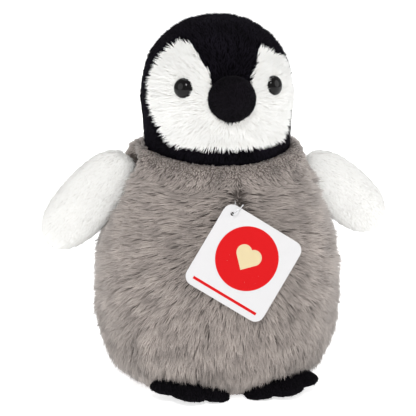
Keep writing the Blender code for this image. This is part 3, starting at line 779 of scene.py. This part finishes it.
def cloth_material(name, colour, loops=900.0, variation=0.4, bump=0.4, specular=0.2, inlay=None):
    """A knitted cloth, read in object space; inlay is the colour where the zone is positive."""
    found = bpy.data.materials.get(name)
    if found:
        return found
    material, tree, shader = plain_material(name)
    knit = add_node(tree, "ShaderNodeGroup", node_tree=knit_group())
    knit.inputs["Loops"].default_value = loops
    knit.inputs["Base"].default_value = (*colour, 1.0)
    knit.inputs["Variation"].default_value = variation
    relief = add_node(tree, "ShaderNodeBump", {"Strength": bump, "Distance": 0.0004})
    wire(
        tree,
        (knit.outputs["Color"], shader.inputs["Base Color"]),
        (knit.outputs["Height"], relief.inputs["Height"]),
        (relief.outputs[0], shader.inputs["Normal"]),
    )
    if inlay is not None:
        zone = add_node(tree, "ShaderNodeAttribute", attribute_name="zone")
        inside = math_node(tree, "GREATER_THAN", zone.outputs["Fac"], 0.0)
        blend = add_node(tree, "ShaderNodeMix", data_type="RGBA")
        blend.inputs[6].default_value = (*colour, 1.0)
        blend.inputs[7].default_value = (*inlay, 1.0)
        wire(tree, (inside, blend.inputs[0]), (blend.outputs[2], knit.inputs["Base"]))
    shader.inputs["Roughness"].default_value = 0.9
    shader.inputs["Specular IOR Level"].default_value = specular
    return material


def moulded_material(name, colour, roughness, coat=0.0, variation=0.15, scale=400.0):
    """A moulded plastic with faint clouding."""
    found = bpy.data.materials.get(name)
    if found:
        return found
    material, tree, shader = plain_material(name)
    coordinates = tree.nodes.new("ShaderNodeTexCoord").outputs["Object"]
    cloud = add_node(tree, "ShaderNodeTexNoise", {"Scale": scale, "Detail": 2.0})
    ramp = add_node(tree, "ShaderNodeValToRGB")
    ramp.color_ramp.elements[0].color = (*[c * (1 - variation) for c in colour], 1.0)
    ramp.color_ramp.elements[1].color = (*[c * (1 + variation) for c in colour], 1.0)
    wire(
        tree,
        (coordinates, cloud.inputs["Vector"]),
        (cloud.outputs[0], ramp.inputs[0]),
        (ramp.outputs[0], shader.inputs["Base Color"]),
    )
    shader.inputs["Roughness"].default_value = roughness
    shader.inputs["Coat Weight"].default_value = coat
    return material


# ---------------------------------------------------------------- pieces

BODY_NODES = (
    "body_front_left_panel",
    "body_front_right_panel",
    "body_back_left_panel",
    "body_back_right_panel",
    "base_panel",
)
HEAD_NODES = (
    "neck_band",
    "forehead_gusset",
    "head_back_left_panel",
    "head_back_right_panel",
    "face_left_panel",
    "face_right_panel",
)


class PENGUIN_OT_body(bpy.types.Operator):
    """Sews the grey body and grows its long pile"""

    bl_idname = "penguin.body"
    bl_label = "Body"

    def execute(self, context):
        pile = context.scene.penguin_pile
        colours = context.scene.penguin_colours
        skin = sew_skin("body_cloth", (*BODY_NODES, "body_stuffing"), 2.5, 4)
        points, normals = skin_arrays(skin)
        from_pivot = np.linalg.norm(points - NECK_PIVOT, axis=1)
        free = smooth(48.0, 54.0, from_pivot) * smooth(2.0, 12.0, points[:, 2])
        near_root = np.linalg.norm(points - np.array((0.0, 0.0, 112.0)), axis=1)
        beside = np.abs(points[:, 0]) * (np.abs(points[:, 1]) < 26.0) * (points[:, 2] > 84.0)
        inflate(skin, 0.8, free * (beside < 30.0) * (near_root > 40.0))
        points, normals = skin_arrays(skin)
        # The cloth under the pile takes the darker root grey: painted shade between the locks.
        dress(skin, "torso", cloth_material("grey knit", colours.grey_root), BODY_NODES)
        seam = SEAM_TOP - SEAM_FOOT
        share = np.clip((points - SEAM_FOOT) @ seam / (seam @ seam), 0.0, 1.0)[:, None]
        away = (points - SEAM_FOOT - share * seam) * (1.0, 1.0, 0.75)
        height = points[:, 2]
        radial = along_skin(away, normals)
        down = along_skin(np.tile((0.0, 0.0, -1.0), (len(points), 1)), normals)
        rising = (smooth(114.0, 124.0, height) * (1.0 - smooth(-20.0, 4.0, points[:, 1])))[:, None]
        fall = down * (1.0 - rising) - down * rising
        ahead = 1.0 - smooth(-16.0, 10.0, points[:, 1])
        near = (ahead * (0.12 + 0.8 * smooth(18.0, 66.0, height)))[:, None]
        aft = smooth(-1.0, 2.0, points[:, 1]) * (1.0 - smooth(12.0, 30.0, points[:, 1]))
        backward = np.outer(aft, (0.0, 1.3, 0.0))
        flow = along_skin(radial * near + fall * (1.0 - near) + backward, normals)
        raised = height + 6.0 * np.clip(-points[:, 1] / 40.0, 0.0, 1.0) ** 2
        tucked = (smooth(116.0, 122.0, raised) * ahead)[:, None]
        flow = along_skin(flow + down * tucked * 1.4, normals)
        lean = 1.45 - 0.45 * rising[:, 0] + 0.6 * rising[:, 0] * ahead
        from_pivot = np.linalg.norm(points - NECK_PIVOT, axis=1)
        radius = np.hypot(points[:, 0], points[:, 1] / 0.92)
        outward = np.sum(normals[:, :2] * points[:, :2], axis=1) > 0.0
        outside = (from_pivot > 46.4) & (outward | (height > 121.0))
        pocket = (np.abs(points[:, 0]) > 36.0) & (radius < 46.0) & (height > 95.0) & (height < 124.0)
        grows = np.where(outside & ~pocket & (height > 1.2), 1.0, 0.0)
        rim = smooth(112.0, 122.0, raised)
        lip = smooth(121.0, 126.5, raised) * ahead
        side_seam = np.exp(-((points[:, 1] / 2.2) ** 2)) * smooth(14.0, 30.0, height)
        long = 1.0 - 0.5 * rim - 0.38 * lip - 0.3 * (1.0 - smooth(4.0, 18.0, height))
        long = long - 0.42 * side_seam * (1.0 - rim)
        write_pile(skin, flow * lean[:, None], grows, long)
        material = pile_material("grey pile", colours.grey_root, colours.grey_tip, 0.42, 0.3)
        for label, quarter in (
            ("front_left", (1.0, -1.0)),
            ("front_right", (-1.0, -1.0)),
            ("back_left", (1.0, 1.0)),
            ("back_right", (-1.0, 1.0)),
        ):
            for tier, upward in (("upper", 1.0), ("lower", -1.0)):
                grow_pile(
                    f"body_pile_{label}_{tier}", skin, "torso",
                    {
                        "Density": pile.body_density, "Seed": 3, "Length": pile.body_length,
                        "Width": 0.00036, "Stray": 0.5, "Clump Size": 0.0036, "Clump Pull": 0.5,
                        "Patch Size": 0.009, "Quarter": (*quarter, upward), "Level": 0.058,
                        "Floor": PILE_FLOOR * MM, "Material": material,
                    },
                )
        return {"FINISHED"}


class PENGUIN_OT_head(bpy.types.Operator):
    """Sews the head, and grows its white face and black hood"""

    bl_idname = "penguin.head"
    bl_label = "Head"

    def execute(self, context):
        pile = context.scene.penguin_pile
        colours = context.scene.penguin_colours
        skin = sew_skin("head_cloth", (*HEAD_NODES, "head_stuffing"), 2.0, 3)
        points, normals = skin_arrays(skin)
        free = smooth(128.0, 136.0, points[:, 2])
        free = free * smooth(24.0, 30.0, np.linalg.norm(points - BEAK_ROOT, axis=1))
        slacken(skin, 0.75, free)
        inflate(skin, 0.8, free)
        corner = smooth(31.5, 33.5, np.hypot(points[:, 0], points[:, 1]))
        slacken(skin, -0.6, corner * (1.0 - smooth(121.0, 127.0, points[:, 2])))
        points, normals = skin_arrays(skin)
        # The hood cloth and its white inlay take the root colours, darker than the tips: painted shade
        # between the locks.
        cloth = cloth_material("hood knit", colours.black_root, specular=0.03, inlay=colours.white_root)
        dress(skin, "head", cloth, HEAD_NODES)
        height = points[:, 2]
        face_z, face_y = np.array(FACE_EDGE).T
        gusset_z, gusset_x = np.array(GUSSET_EDGE).T
        ahead = np.interp(height, face_z, face_y) - points[:, 1]
        beside = np.abs(points[:, 0]) - np.interp(height, gusset_z, gusset_x)
        above = height - BAND_TOP
        slope = 0.5 * np.maximum(np.abs(points[:, 0]) - 17.0, 0.0)
        peak = np.where(points[:, 0] > 0.0, PEAK_LEFT + 3.0 - slope, PEAK_RIGHT) - height
        zone = np.minimum(np.minimum(ahead * 0.8, beside), np.minimum(above, peak)) * MM
        away = along_skin(points - BEAK_ROOT, normals)
        down = along_skin(np.tile((0.0, 0.0, -1.0), (len(points), 1)), normals)
        back = smooth(-16.0, 14.0, points[:, 1])[:, None]
        low = (1.0 - smooth(124.0, 133.0, height))[:, None]
        flow = along_skin(away * (1 - back) + down * back + down * low * 0.6, normals)
        grows = smooth(121.5, 123.0, height)
        long = 1.0 - 0.35 * (1 - smooth(124.0, 131.0, height))
        close = np.linalg.norm(points - np.array((0.0, -42.0, 158.0)), axis=1)
        long = long * (0.62 + 0.38 * smooth(12.0, 20.0, close))
        crown = smooth(176.0, 192.0, height)
        long = long * (1.0 - (0.34 + 0.14 * crown) * (zone < 0.0))
        for sign in (1.0, -1.0):
            sideways = sign * EYE_REACH * math.sin(EYE_TURN)
            eye = np.array((sideways, -EYE_REACH * math.cos(EYE_TURN), EYE_HEIGHT))
            near_eye = np.linalg.norm(points - eye, axis=1)
            grows = grows * (near_eye > 4.8)
            long = long * (0.55 + 0.45 * smooth(4.5, 9.0, near_eye))
        lean = 1.35 - 0.5 * (zone < 0.0) * smooth(140.0, 170.0, height)
        write_pile(skin, flow * lean[:, None], grows, long, zone)
        white = pile_material("white pile", colours.white_root, colours.white_tip, 0.04, 0.3)
        black = pile_material("black pile", colours.black_root, colours.black_tip, 0.6, 0.0, 0.03)
        shared = {
            "Density": pile.head_density, "Seed": 5, "Length": pile.head_length, "Width": 0.00034,
            "Stray": 0.5, "Clump Size": 0.0032, "Clump Pull": 0.5, "Patch Size": 0.012,
            "Zone Blend": 0.0005,
        }
        for label, quarter in (("left", (1.0, 0.0, 0.0)), ("right", (-1.0, 0.0, 0.0))):
            grow_pile(
                "face_pile_" + label, skin, "head",
                {**shared, "Zone Side": 1.0, "Quarter": quarter, "Material": white},
            )
            grow_pile(
                "hood_pile_" + label, skin, "head",
                {**shared, "Zone Side": -1.0, "Quarter": quarter, "Material": black},
            )
        return {"FINISHED"}


class PENGUIN_OT_flippers(bpy.types.Operator):
    """Sews both white flippers with their short pile"""

    bl_idname = "penguin.flippers"
    bl_label = "Flippers"

    def execute(self, context):
        pile = context.scene.penguin_pile
        colours = context.scene.penguin_colours
        white = pile_material("short white pile", colours.white_root, colours.white_tip, 0.04, 0.3)
        for side in ("left", "right"):
            panels = (f"flipper_{side}_front_panel", f"flipper_{side}_back_panel")
            skin = sew_skin(f"flipper_{side}_cloth", (*panels, f"flipper_{side}_stuffing"), 1.5, 3)
            points, normals = skin_arrays(skin)
            inflate(skin, 0.6, smooth(66.0, 72.0, np.abs(points[:, 0])))
            points, normals = skin_arrays(skin)
            # The flipper cloth takes the white root colour, a little darker than the tips: painted shade
            # between the locks.
            cloth = cloth_material("white knit", colours.white_root)
            dress(skin, f"flipper_{side}", cloth, panels)
            middle = points.mean(axis=0)
            axis = np.linalg.svd(points - middle, full_matrices=False)[2][0]
            axis = axis * (1.0 if axis[0] * middle[0] > 0 else -1.0)
            flow = along_skin(np.tile(axis, (len(points), 1)), normals)
            write_pile(skin, flow * 1.5, np.ones(len(points)), np.ones(len(points)))
            grow_pile(
                f"flipper_{side}_pile", skin, f"flipper_{side}",
                {
                    "Density": pile.flipper_density, "Seed": 7, "Length": pile.flipper_length,
                    "Width": 0.0003, "Stray": 0.25, "Clump Size": 0.0026, "Clump Pull": 0.2,
                    "Patch Size": 0.012, "Zone Side": 0.0, "Material": white,
                },
            )
        return {"FINISHED"}


class PENGUIN_OT_beak(bpy.types.Operator):
    """Sews the rounded velour beak"""

    bl_idname = "penguin.beak"
    bl_label = "Beak"

    def execute(self, context):
        pile = context.scene.penguin_pile
        colours = context.scene.penguin_colours
        panels = ("beak_upper_panel", "beak_lower_panel")
        skin = sew_skin("beak_cloth", (*panels, "beak_stuffing"), 1.0, 3)
        points, normals = skin_arrays(skin)
        # The velour cloth takes the root black, darker than the nap's tips: painted shade under the nap.
        cloth = cloth_material("black velour", colours.velour_root, specular=0.05)
        dress(skin, "head", cloth, panels)
        flow = along_skin(np.tile((0.0, -1.0, -0.4), (len(points), 1)), normals)
        write_pile(skin, flow * 1.2, np.ones(len(points)), np.ones(len(points)))
        material = pile_material("black nap", colours.velour_root, colours.velour_tip, 0.35, 0.02, 0.06)
        grow_pile(
            "beak_nap", skin, "head",
            {
                "Density": pile.velour_density * 1.6, "Seed": 9, "Length": pile.velour_length,
                "Width": 0.0002, "Stray": 0.3, "Clump Size": 0.003, "Clump Pull": 0.2,
                "Patch Size": 0.008, "Material": material,
            },
        )
        return {"FINISHED"}


class PENGUIN_OT_feet(bpy.types.Operator):
    """Sews both three-toed velour feet"""

    bl_idname = "penguin.feet"
    bl_label = "Feet"

    def execute(self, context):
        pile = context.scene.penguin_pile
        colours = context.scene.penguin_colours
        material = pile_material("black nap", colours.velour_root, colours.velour_tip, 0.35, 0.02, 0.06)
        for side in ("left", "right"):
            panels = (f"foot_{side}_top", f"foot_{side}_sole")
            skin = sew_skin(f"foot_{side}_cloth", (*panels, f"foot_{side}_stuffing"), 0.9, 3)
            points, normals = skin_arrays(skin)
            # The velour cloth takes the root black, darker than the nap's tips: painted shade under the nap.
            cloth = cloth_material("black velour", colours.velour_root, specular=0.05)
            dress(skin, "torso", cloth, panels)
            flow = along_skin(np.tile((0.0, -1.0, -0.3), (len(points), 1)), normals)
            write_pile(skin, flow * 1.2, (normals[:, 2] > -0.6) * 1.0, np.ones(len(points)))
            grow_pile(
                f"foot_{side}_nap", skin, "torso",
                {
                    "Density": pile.velour_density, "Seed": 13, "Length": pile.velour_length,
                    "Width": 0.0002, "Stray": 0.3, "Clump Size": 0.003, "Clump Pull": 0.2,
                    "Patch Size": 0.008, "Floor": 0.0, "Material": material,
                },
            )
        return {"FINISHED"}


def eye_frame(sign):
    """Where an eye sits on the head, its own Z looking out of the face."""
    spot = Vector(
        (sign * EYE_REACH * math.sin(EYE_TURN), -EYE_REACH * math.cos(EYE_TURN), EYE_HEIGHT)
    )
    facing = Vector((sign * math.sin(EYE_TURN), -math.cos(EYE_TURN), math.tan(EYE_TILT)))
    return Matrix.Translation(spot * MM) @ facing.to_track_quat("Z", "Y").to_matrix().to_4x4()


def turned_mesh(name, profile, steps):
    """A closed solid turned from (radius, height) pairs in millimetres, both ends on the axis."""
    bm = bmesh.new()
    chain = [bm.verts.new((radius * MM, 0.0, height * MM)) for radius, height in profile]
    edges = [bm.edges.new(pair) for pair in zip(chain, chain[1:])]
    bmesh.ops.spin(
        bm, geom=[*chain, *edges], axis=(0, 0, 1), cent=(0, 0, 0), angle=math.tau, steps=steps, use_merge=True
    )
    bmesh.ops.remove_doubles(bm, verts=bm.verts, dist=1e-7)
    bmesh.ops.recalc_face_normals(bm, faces=bm.faces)
    for face in bm.faces:
        face.smooth = True
    mesh = bpy.data.meshes.new(name)
    bm.to_mesh(mesh)
    bm.free()
    return mesh


class PENGUIN_OT_eyes(bpy.types.Operator):
    """Sets the two glossy safety eyes into the face"""

    bl_idname = "penguin.eyes"
    bl_label = "Eyes"

    def execute(self, context):
        gloss = moulded_material("eye gloss", (0.003, 0.0026, 0.0026), 0.06, variation=0.3)
        gloss.node_tree.nodes["Principled BSDF"].inputs["Specular IOR Level"].default_value = 0.2
        dome = [(5.2 * math.sin(a), 0.9 + 3.3 * math.cos(a)) for a in np.linspace(0.0, math.pi / 2, 14)]
        profile = [*dome, (5.28, 0.6), (5.15, 0.36), (4.9, 0.32), (1.5, 0.32), (1.45, 0.0), (1.45, -6.6),
                   (1.2, -6.95), (0.0, -7.0)]
        for side, sign in (("left", 1.0), ("right", -1.0)):
            mesh = turned_mesh(f"safety_eye_{side}", profile, 48)
            mesh.transform(eye_frame(sign))
            mesh.materials.append(gloss)
            eye = bpy.data.objects.new(f"safety_eye_{side}", mesh)
            context.scene.collection.objects.link(eye)
            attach(eye, "head")
            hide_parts(f"eye_{side}")
        return {"FINISHED"}


def tag_frame():
    """The middle of the hang tag's card, its own Z looking out of the print."""
    hole = Matrix.Translation(Vector(TAG_HOLE) * MM)
    lean = Matrix.Rotation(math.radians(90.0) - TAG_LEAN, 4, "X")
    centre = Matrix.Translation(Vector((*TAG_CENTRE, 0.0)) * MM)
    return hole @ lean @ centre @ Matrix.Rotation(-TAG_ROLL, 4, "Z")


def soft_below(tree, value, limit, edge):
    """1 where the value is below the limit and 0 above it, over a narrow edge."""
    made = add_node(tree, "ShaderNodeMapRange", {"From Min": limit - edge, "From Max": limit + edge})
    made.inputs["To Min"].default_value = 1.0
    made.inputs["To Max"].default_value = 0.0
    wire(tree, (value, made.inputs["Value"]))
    return made.outputs[0]


class PENGUIN_OT_tag(bpy.types.Operator):
    """Prints the hang tag and finishes its nylon loop"""

    bl_idname = "penguin.tag"
    bl_label = "Hang tag"

    def execute(self, context):
        colours = context.scene.penguin_colours
        material, tree, shader = plain_material("printed card")
        where = add_node(tree, "ShaderNodeMapping", vector_type="TEXTURE")
        place = tag_frame()
        where.inputs["Location"].default_value = place.to_translation()
        where.inputs["Rotation"].default_value = place.to_euler()
        where.inputs["Scale"].default_value = (MM, MM, MM)
        coordinates = tree.nodes.new("ShaderNodeTexCoord").outputs["Object"]
        split = add_node(tree, "ShaderNodeSeparateXYZ")
        grain = add_node(tree, "ShaderNodeTexNoise", {"Scale": 900.0, "Detail": 4.0})
        wire(
            tree,
            (coordinates, where.inputs["Vector"]),
            (where.outputs[0], split.inputs[0]),
            (coordinates, grain.inputs["Vector"]),
        )
        across = math_node(tree, "SUBTRACT", split.outputs["X"], 0.2)
        upward = math_node(tree, "SUBTRACT", split.outputs["Y"], 2.8)
        reach = math_node(
            tree, "SQRT",
            math_node(tree, "ADD", math_node(tree, "POWER", math_node(tree, "ABSOLUTE", across), 2.0),
                      math_node(tree, "POWER", math_node(tree, "ABSOLUTE", upward), 2.0)),
        )
        disc = soft_below(tree, reach, 16.6, 0.12)
        x = math_node(tree, "ABSOLUTE", across)
        y = math_node(tree, "ADD", upward, 0.8)
        point = math_node(tree, "SUBTRACT", math_node(tree, "ADD", x, math_node(tree, "ABSOLUTE", y)), 5.8)
        x2 = math_node(tree, "POWER", math_node(tree, "ABSOLUTE", math_node(tree, "SUBTRACT", x, 2.9)), 2.0)
        y2 = math_node(tree, "POWER", math_node(tree, "ABSOLUTE", math_node(tree, "SUBTRACT", y, 2.9)), 2.0)
        lobe = math_node(tree, "SUBTRACT", math_node(tree, "SQRT", math_node(tree, "ADD", x2, y2)), 4.1)
        heart = soft_below(tree, math_node(tree, "MINIMUM", point, lobe), 0.0, 0.12)
        low = math_node(tree, "ABSOLUTE", math_node(tree, "ADD", split.outputs["Y"], 19.2))
        side = math_node(tree, "ABSOLUTE", split.outputs["X"])
        stripe = math_node(
            tree, "MULTIPLY", soft_below(tree, low, 0.75, 0.08), soft_below(tree, side, 19.0, 0.1)
        )
        front = math_node(tree, "GREATER_THAN", split.outputs["Z"], 0.0)
        ink = math_node(tree, "SUBTRACT", disc, heart, clamp=True)
        ink = math_node(tree, "MULTIPLY", math_node(tree, "MAXIMUM", ink, stripe), front)
        paper = add_node(tree, "ShaderNodeValToRGB")
        paper.color_ramp.elements[0].color = (*[c * 0.97 for c in colours.tag_white], 1.0)
        paper.color_ramp.elements[1].color = (*colours.tag_white, 1.0)
        cream = add_node(tree, "ShaderNodeMix", data_type="RGBA")
        cream.inputs[7].default_value = (0.60, 0.50, 0.30, 1.0)
        print_mix = add_node(tree, "ShaderNodeMix", data_type="RGBA")
        print_mix.inputs[7].default_value = (*colours.tag_red, 1.0)
        relief = add_node(tree, "ShaderNodeBump", {"Strength": 0.05, "Distance": 0.0001})
        wire(
            tree,
            (grain.outputs[0], paper.inputs[0]),
            (math_node(tree, "MULTIPLY", heart, front), cream.inputs[0]),
            (paper.outputs[0], cream.inputs[6]),
            (cream.outputs[2], print_mix.inputs[6]),
            (ink, print_mix.inputs[0]),
            (print_mix.outputs[2], shader.inputs["Base Color"]),
            (grain.outputs[0], relief.inputs["Height"]),
            (relief.outputs[0], shader.inputs["Normal"]),
        )
        shader.inputs["Roughness"].default_value = 0.5
        shader.inputs["Specular IOR Level"].default_value = 0.12
        put_on("tag_card", material)
        nylon = moulded_material("clear nylon", (0.86, 0.87, 0.88), 0.25, variation=0.05)
        nylon.node_tree.nodes["Principled BSDF"].inputs["Transmission Weight"].default_value = 0.6
        put_on("tag_fastener_loop", nylon)
        put_on("tag_fastener_bar", nylon)
        return {"FINISHED"}


def put_on(node, material):
    """Gives a CAD node that stays its finish."""
    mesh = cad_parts[node].data
    mesh.materials.clear()
    mesh.materials.append(material)


class PENGUIN_OT_insides(bpy.types.Operator):
    """Finishes what lies inside: stuffing, granules, their pouch and the eyes' washers"""

    bl_idname = "penguin.insides"
    bl_label = "Insides"

    def execute(self, context):
        wadding = cloth_material("polyester wadding", (0.82, 0.82, 0.80), loops=260.0, variation=0.12)
        for node in sorted(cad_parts):
            if node.endswith("_stuffing"):
                put_on(node, wadding)
        black = context.scene.penguin_colours.black_root
        cotton = (0.62, 0.58, 0.50)
        put_on("neck_stuffing", cloth_material("neck knit", black, specular=0.03))
        put_on("granule_pouch", cloth_material("pouch cotton", cotton, loops=1600.0, variation=0.1))
        put_on("granule_fill", cloth_material("granules", (0.75, 0.76, 0.78), loops=420.0, variation=0.2))
        washer = moulded_material("washer plastic", (0.70, 0.70, 0.68), 0.45)
        put_on("eye_washer_left", washer)
        put_on("eye_washer_right", washer)
        return {"FINISHED"}


class PENGUIN_OT_label(bpy.types.Operator):
    """Sews the blank folded care label into the back seam"""

    bl_idname = "penguin.label"
    bl_label = "Care label"

    def execute(self, context):
        low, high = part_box("care_label")
        low, high = low / MM, high / MM
        material, tree, shader = plain_material("label satin")
        coordinates = tree.nodes.new("ShaderNodeTexCoord").outputs["Object"]
        weave = add_node(
            tree, "ShaderNodeTexWave", {"Scale": 700.0, "Distortion": 0.4}, wave_type="BANDS"
        )
        weave.bands_direction = "Z"
        ramp = add_node(tree, "ShaderNodeValToRGB")
        ramp.color_ramp.elements[0].color = (0.72, 0.72, 0.70, 1.0)
        ramp.color_ramp.elements[1].color = (0.86, 0.86, 0.84, 1.0)
        relief = add_node(tree, "ShaderNodeBump", {"Strength": 0.2, "Distance": 0.0001})
        wire(
            tree,
            (coordinates, weave.inputs["Vector"]),
            (weave.outputs["Fac"], ramp.inputs[0]),
            (ramp.outputs[0], shader.inputs["Base Color"]),
            (weave.outputs["Fac"], relief.inputs["Height"]),
            (relief.outputs[0], shader.inputs["Normal"]),
        )
        shader.inputs["Roughness"].default_value = 0.38
        half, ply = 0.38, 0.2
        out = [(half, low.y), (half, high.y - 0.4), (half * 0.7, high.y - 0.1), (0.0, high.y)]
        back = [(-x, y) for x, y in reversed(out[:-1])]
        slit = [(-(half - ply), low.y), (-(half - ply), high.y - 0.5), (half - ply, high.y - 0.5),
                (half - ply, low.y)]
        rim = [*out, *back, *slit]
        rows = 14
        bm = bmesh.new()
        rings = []
        for row in range(rows + 1):
            share = row / rows
            height = low.z + (high.z - low.z) * share
            ring = []
            for x, y in rim:
                outward = (y - low.y) / (high.y - low.y)
                bend = 0.9 * outward**2 * math.sin(math.pi * (0.15 + 0.9 * share))
                ring.append(bm.verts.new(Vector((x + bend, y, height)) * MM))
            rings.append(ring)
        count = len(rim)
        for lower, upper in zip(rings, rings[1:]):
            for place in range(count):
                after = (place + 1) % count
                bm.faces.new((lower[place], lower[after], upper[after], upper[place]))
        bm.faces.new(reversed(rings[0]))
        bm.faces.new(rings[-1])
        bmesh.ops.recalc_face_normals(bm, faces=bm.faces)
        mesh = bpy.data.meshes.new("folded_label")
        bm.to_mesh(mesh)
        bm.free()
        mesh.materials.append(material)
        label = bpy.data.objects.new("folded_label", mesh)
        context.scene.collection.objects.link(label)
        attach(label, "torso")
        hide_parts("care_label")
        return {"FINISHED"}


class PENGUIN_OT_stage(bpy.types.Operator):
    """Sets the floor, the soft lights and the camera"""

    bl_idname = "penguin.stage"
    bl_label = "Stage"

    def execute(self, context):
        scene = context.scene
        bpy.ops.mesh.primitive_plane_add(size=4.0)
        floor = context.object
        floor.name = "studio_floor"
        material, tree, shader = plain_material("studio paper")
        coordinates = tree.nodes.new("ShaderNodeTexCoord").outputs["Object"]
        grain = add_node(tree, "ShaderNodeTexNoise", {"Scale": 60.0, "Detail": 4.0})
        ramp = add_node(tree, "ShaderNodeValToRGB")
        ramp.color_ramp.elements[0].color = (0.93, 0.93, 0.93, 1.0)
        ramp.color_ramp.elements[1].color = (0.96, 0.96, 0.96, 1.0)
        wire(
            tree,
            (coordinates, grain.inputs["Vector"]),
            (grain.outputs[0], ramp.inputs[0]),
            (ramp.outputs[0], shader.inputs["Base Color"]),
        )
        shader.inputs["Roughness"].default_value = 0.9
        shader.inputs["Emission Color"].default_value = (1.0, 1.0, 1.0, 1.0)
        shader.inputs["Emission Strength"].default_value = 0.7
        floor.data.materials.append(material)
        world = bpy.data.worlds.new("soft studio")
        world.use_nodes = True
        sky = world.node_tree
        shine = sky.nodes["Background"]
        shine.inputs["Color"].default_value = (1.0, 1.0, 1.0, 1.0)
        seen = sky.nodes.new("ShaderNodeLightPath")
        aim = sky.nodes.new("ShaderNodeTexCoord")
        split = sky.nodes.new("ShaderNodeSeparateXYZ")
        dome = add_node(
            sky, "ShaderNodeMapRange",
            {"From Min": -0.2, "From Max": 0.9, "To Min": 0.56, "To Max": 0.44},
        )
        strength = add_node(sky, "ShaderNodeMix", data_type="FLOAT")
        strength.inputs[3].default_value = 1.0
        wire(
            sky,
            (aim.outputs["Generated"], split.inputs[0]),
            (split.outputs["Z"], dome.inputs["Value"]),
            (seen.outputs["Is Camera Ray"], strength.inputs[0]),
            (dome.outputs[0], strength.inputs[2]),
            (strength.outputs[0], shine.inputs["Strength"]),
        )
        scene.world = world
        for name, place, size, power in (
            ("key", (-0.22, -1.0, 1.0), 0.34, 6.9),
            ("left fill", (-1.0, -0.42, 0.5), 0.9, 3.4),
            ("right fill", (1.0, -0.42, 0.5), 0.9, 4.0),
            ("top", (0.1, 0.35, 1.2), 0.9, 4.4),
            ("back fill", (0.1, 1.1, 0.5), 0.9, 4.5),
        ):
            data = bpy.data.lights.new(name, "AREA")
            data.shape = "DISK"
            data.size = size
            data.energy = power
            lamp = bpy.data.objects.new(name, data)
            lamp.location = place
            aim = Vector((0.0, 0.0, 0.1)) - Vector(place)
            lamp.rotation_euler = aim.to_track_quat("-Z", "Y").to_euler()
            scene.collection.objects.link(lamp)
        turn, tilt = math.radians(-10.9), math.radians(12.4)
        back = Vector((math.sin(turn) * math.cos(tilt), -math.cos(turn) * math.cos(tilt), math.sin(tilt)))
        right = Vector((math.cos(turn), math.sin(turn), 0.0))
        up = back.cross(right)
        target = Vector((0.0, 0.0, 0.100)) - right * 0.0048 - up * 0.0069
        data = bpy.data.cameras.new("camera")
        data.lens = 160.9
        data.sensor_width = 36.0
        data.clip_start = 0.05
        data.clip_end = 20.0
        camera = bpy.data.objects.new("camera", data)
        camera.location = target + back
        camera.rotation_euler = (-back).to_track_quat("-Z", "Y").to_euler()
        scene.collection.objects.link(camera)
        scene.camera = camera
        scene.view_settings.view_transform = "Standard"
        return {"FINISHED"}


OPERATORS = (
    PENGUIN_OT_stage,
    PENGUIN_OT_body,
    PENGUIN_OT_head,
    PENGUIN_OT_flippers,
    PENGUIN_OT_beak,
    PENGUIN_OT_eyes,
    PENGUIN_OT_feet,
    PENGUIN_OT_tag,
    PENGUIN_OT_label,
    PENGUIN_OT_insides,
)


class PENGUIN_PT_panel(bpy.types.Panel):
    """Lists the penguin's pieces and settings"""

    bl_label = "Plush Penguin"
    bl_idname = "PENGUIN_PT_panel"
    bl_space_type = "VIEW_3D"
    bl_region_type = "UI"
    bl_category = "Penguin"

    def draw(self, context):
        for group in (context.scene.penguin_pile, context.scene.penguin_colours):
            for key in group.__annotations__:
                self.layout.prop(group, key)
        for operator in OPERATORS:
            self.layout.operator(operator.bl_idname)


CLASSES = (PENGUIN_PG_pile, PENGUIN_PG_colours, *OPERATORS, PENGUIN_PT_panel)


def register():
    """Adds the classes and the two groups of settings."""
    for item in CLASSES:
        bpy.utils.register_class(item)
    bpy.types.Scene.penguin_pile = bpy.props.PointerProperty(type=PENGUIN_PG_pile)
    bpy.types.Scene.penguin_colours = bpy.props.PointerProperty(type=PENGUIN_PG_colours)


def unregister():
    """Takes the classes and the settings away again."""
    del bpy.types.Scene.penguin_colours
    del bpy.types.Scene.penguin_pile
    for item in reversed(CLASSES):
        bpy.utils.unregister_class(item)


def main():
    """Makes every piece."""
    register()
    bpy.ops.penguin.stage()
    bpy.ops.penguin.body()
    bpy.ops.penguin.head()
    bpy.ops.penguin.flippers()
    bpy.ops.penguin.beak()
    bpy.ops.penguin.eyes()
    bpy.ops.penguin.feet()
    bpy.ops.penguin.tag()
    bpy.ops.penguin.label()
    bpy.ops.penguin.insides()


if __name__ == "__main__":
    main()
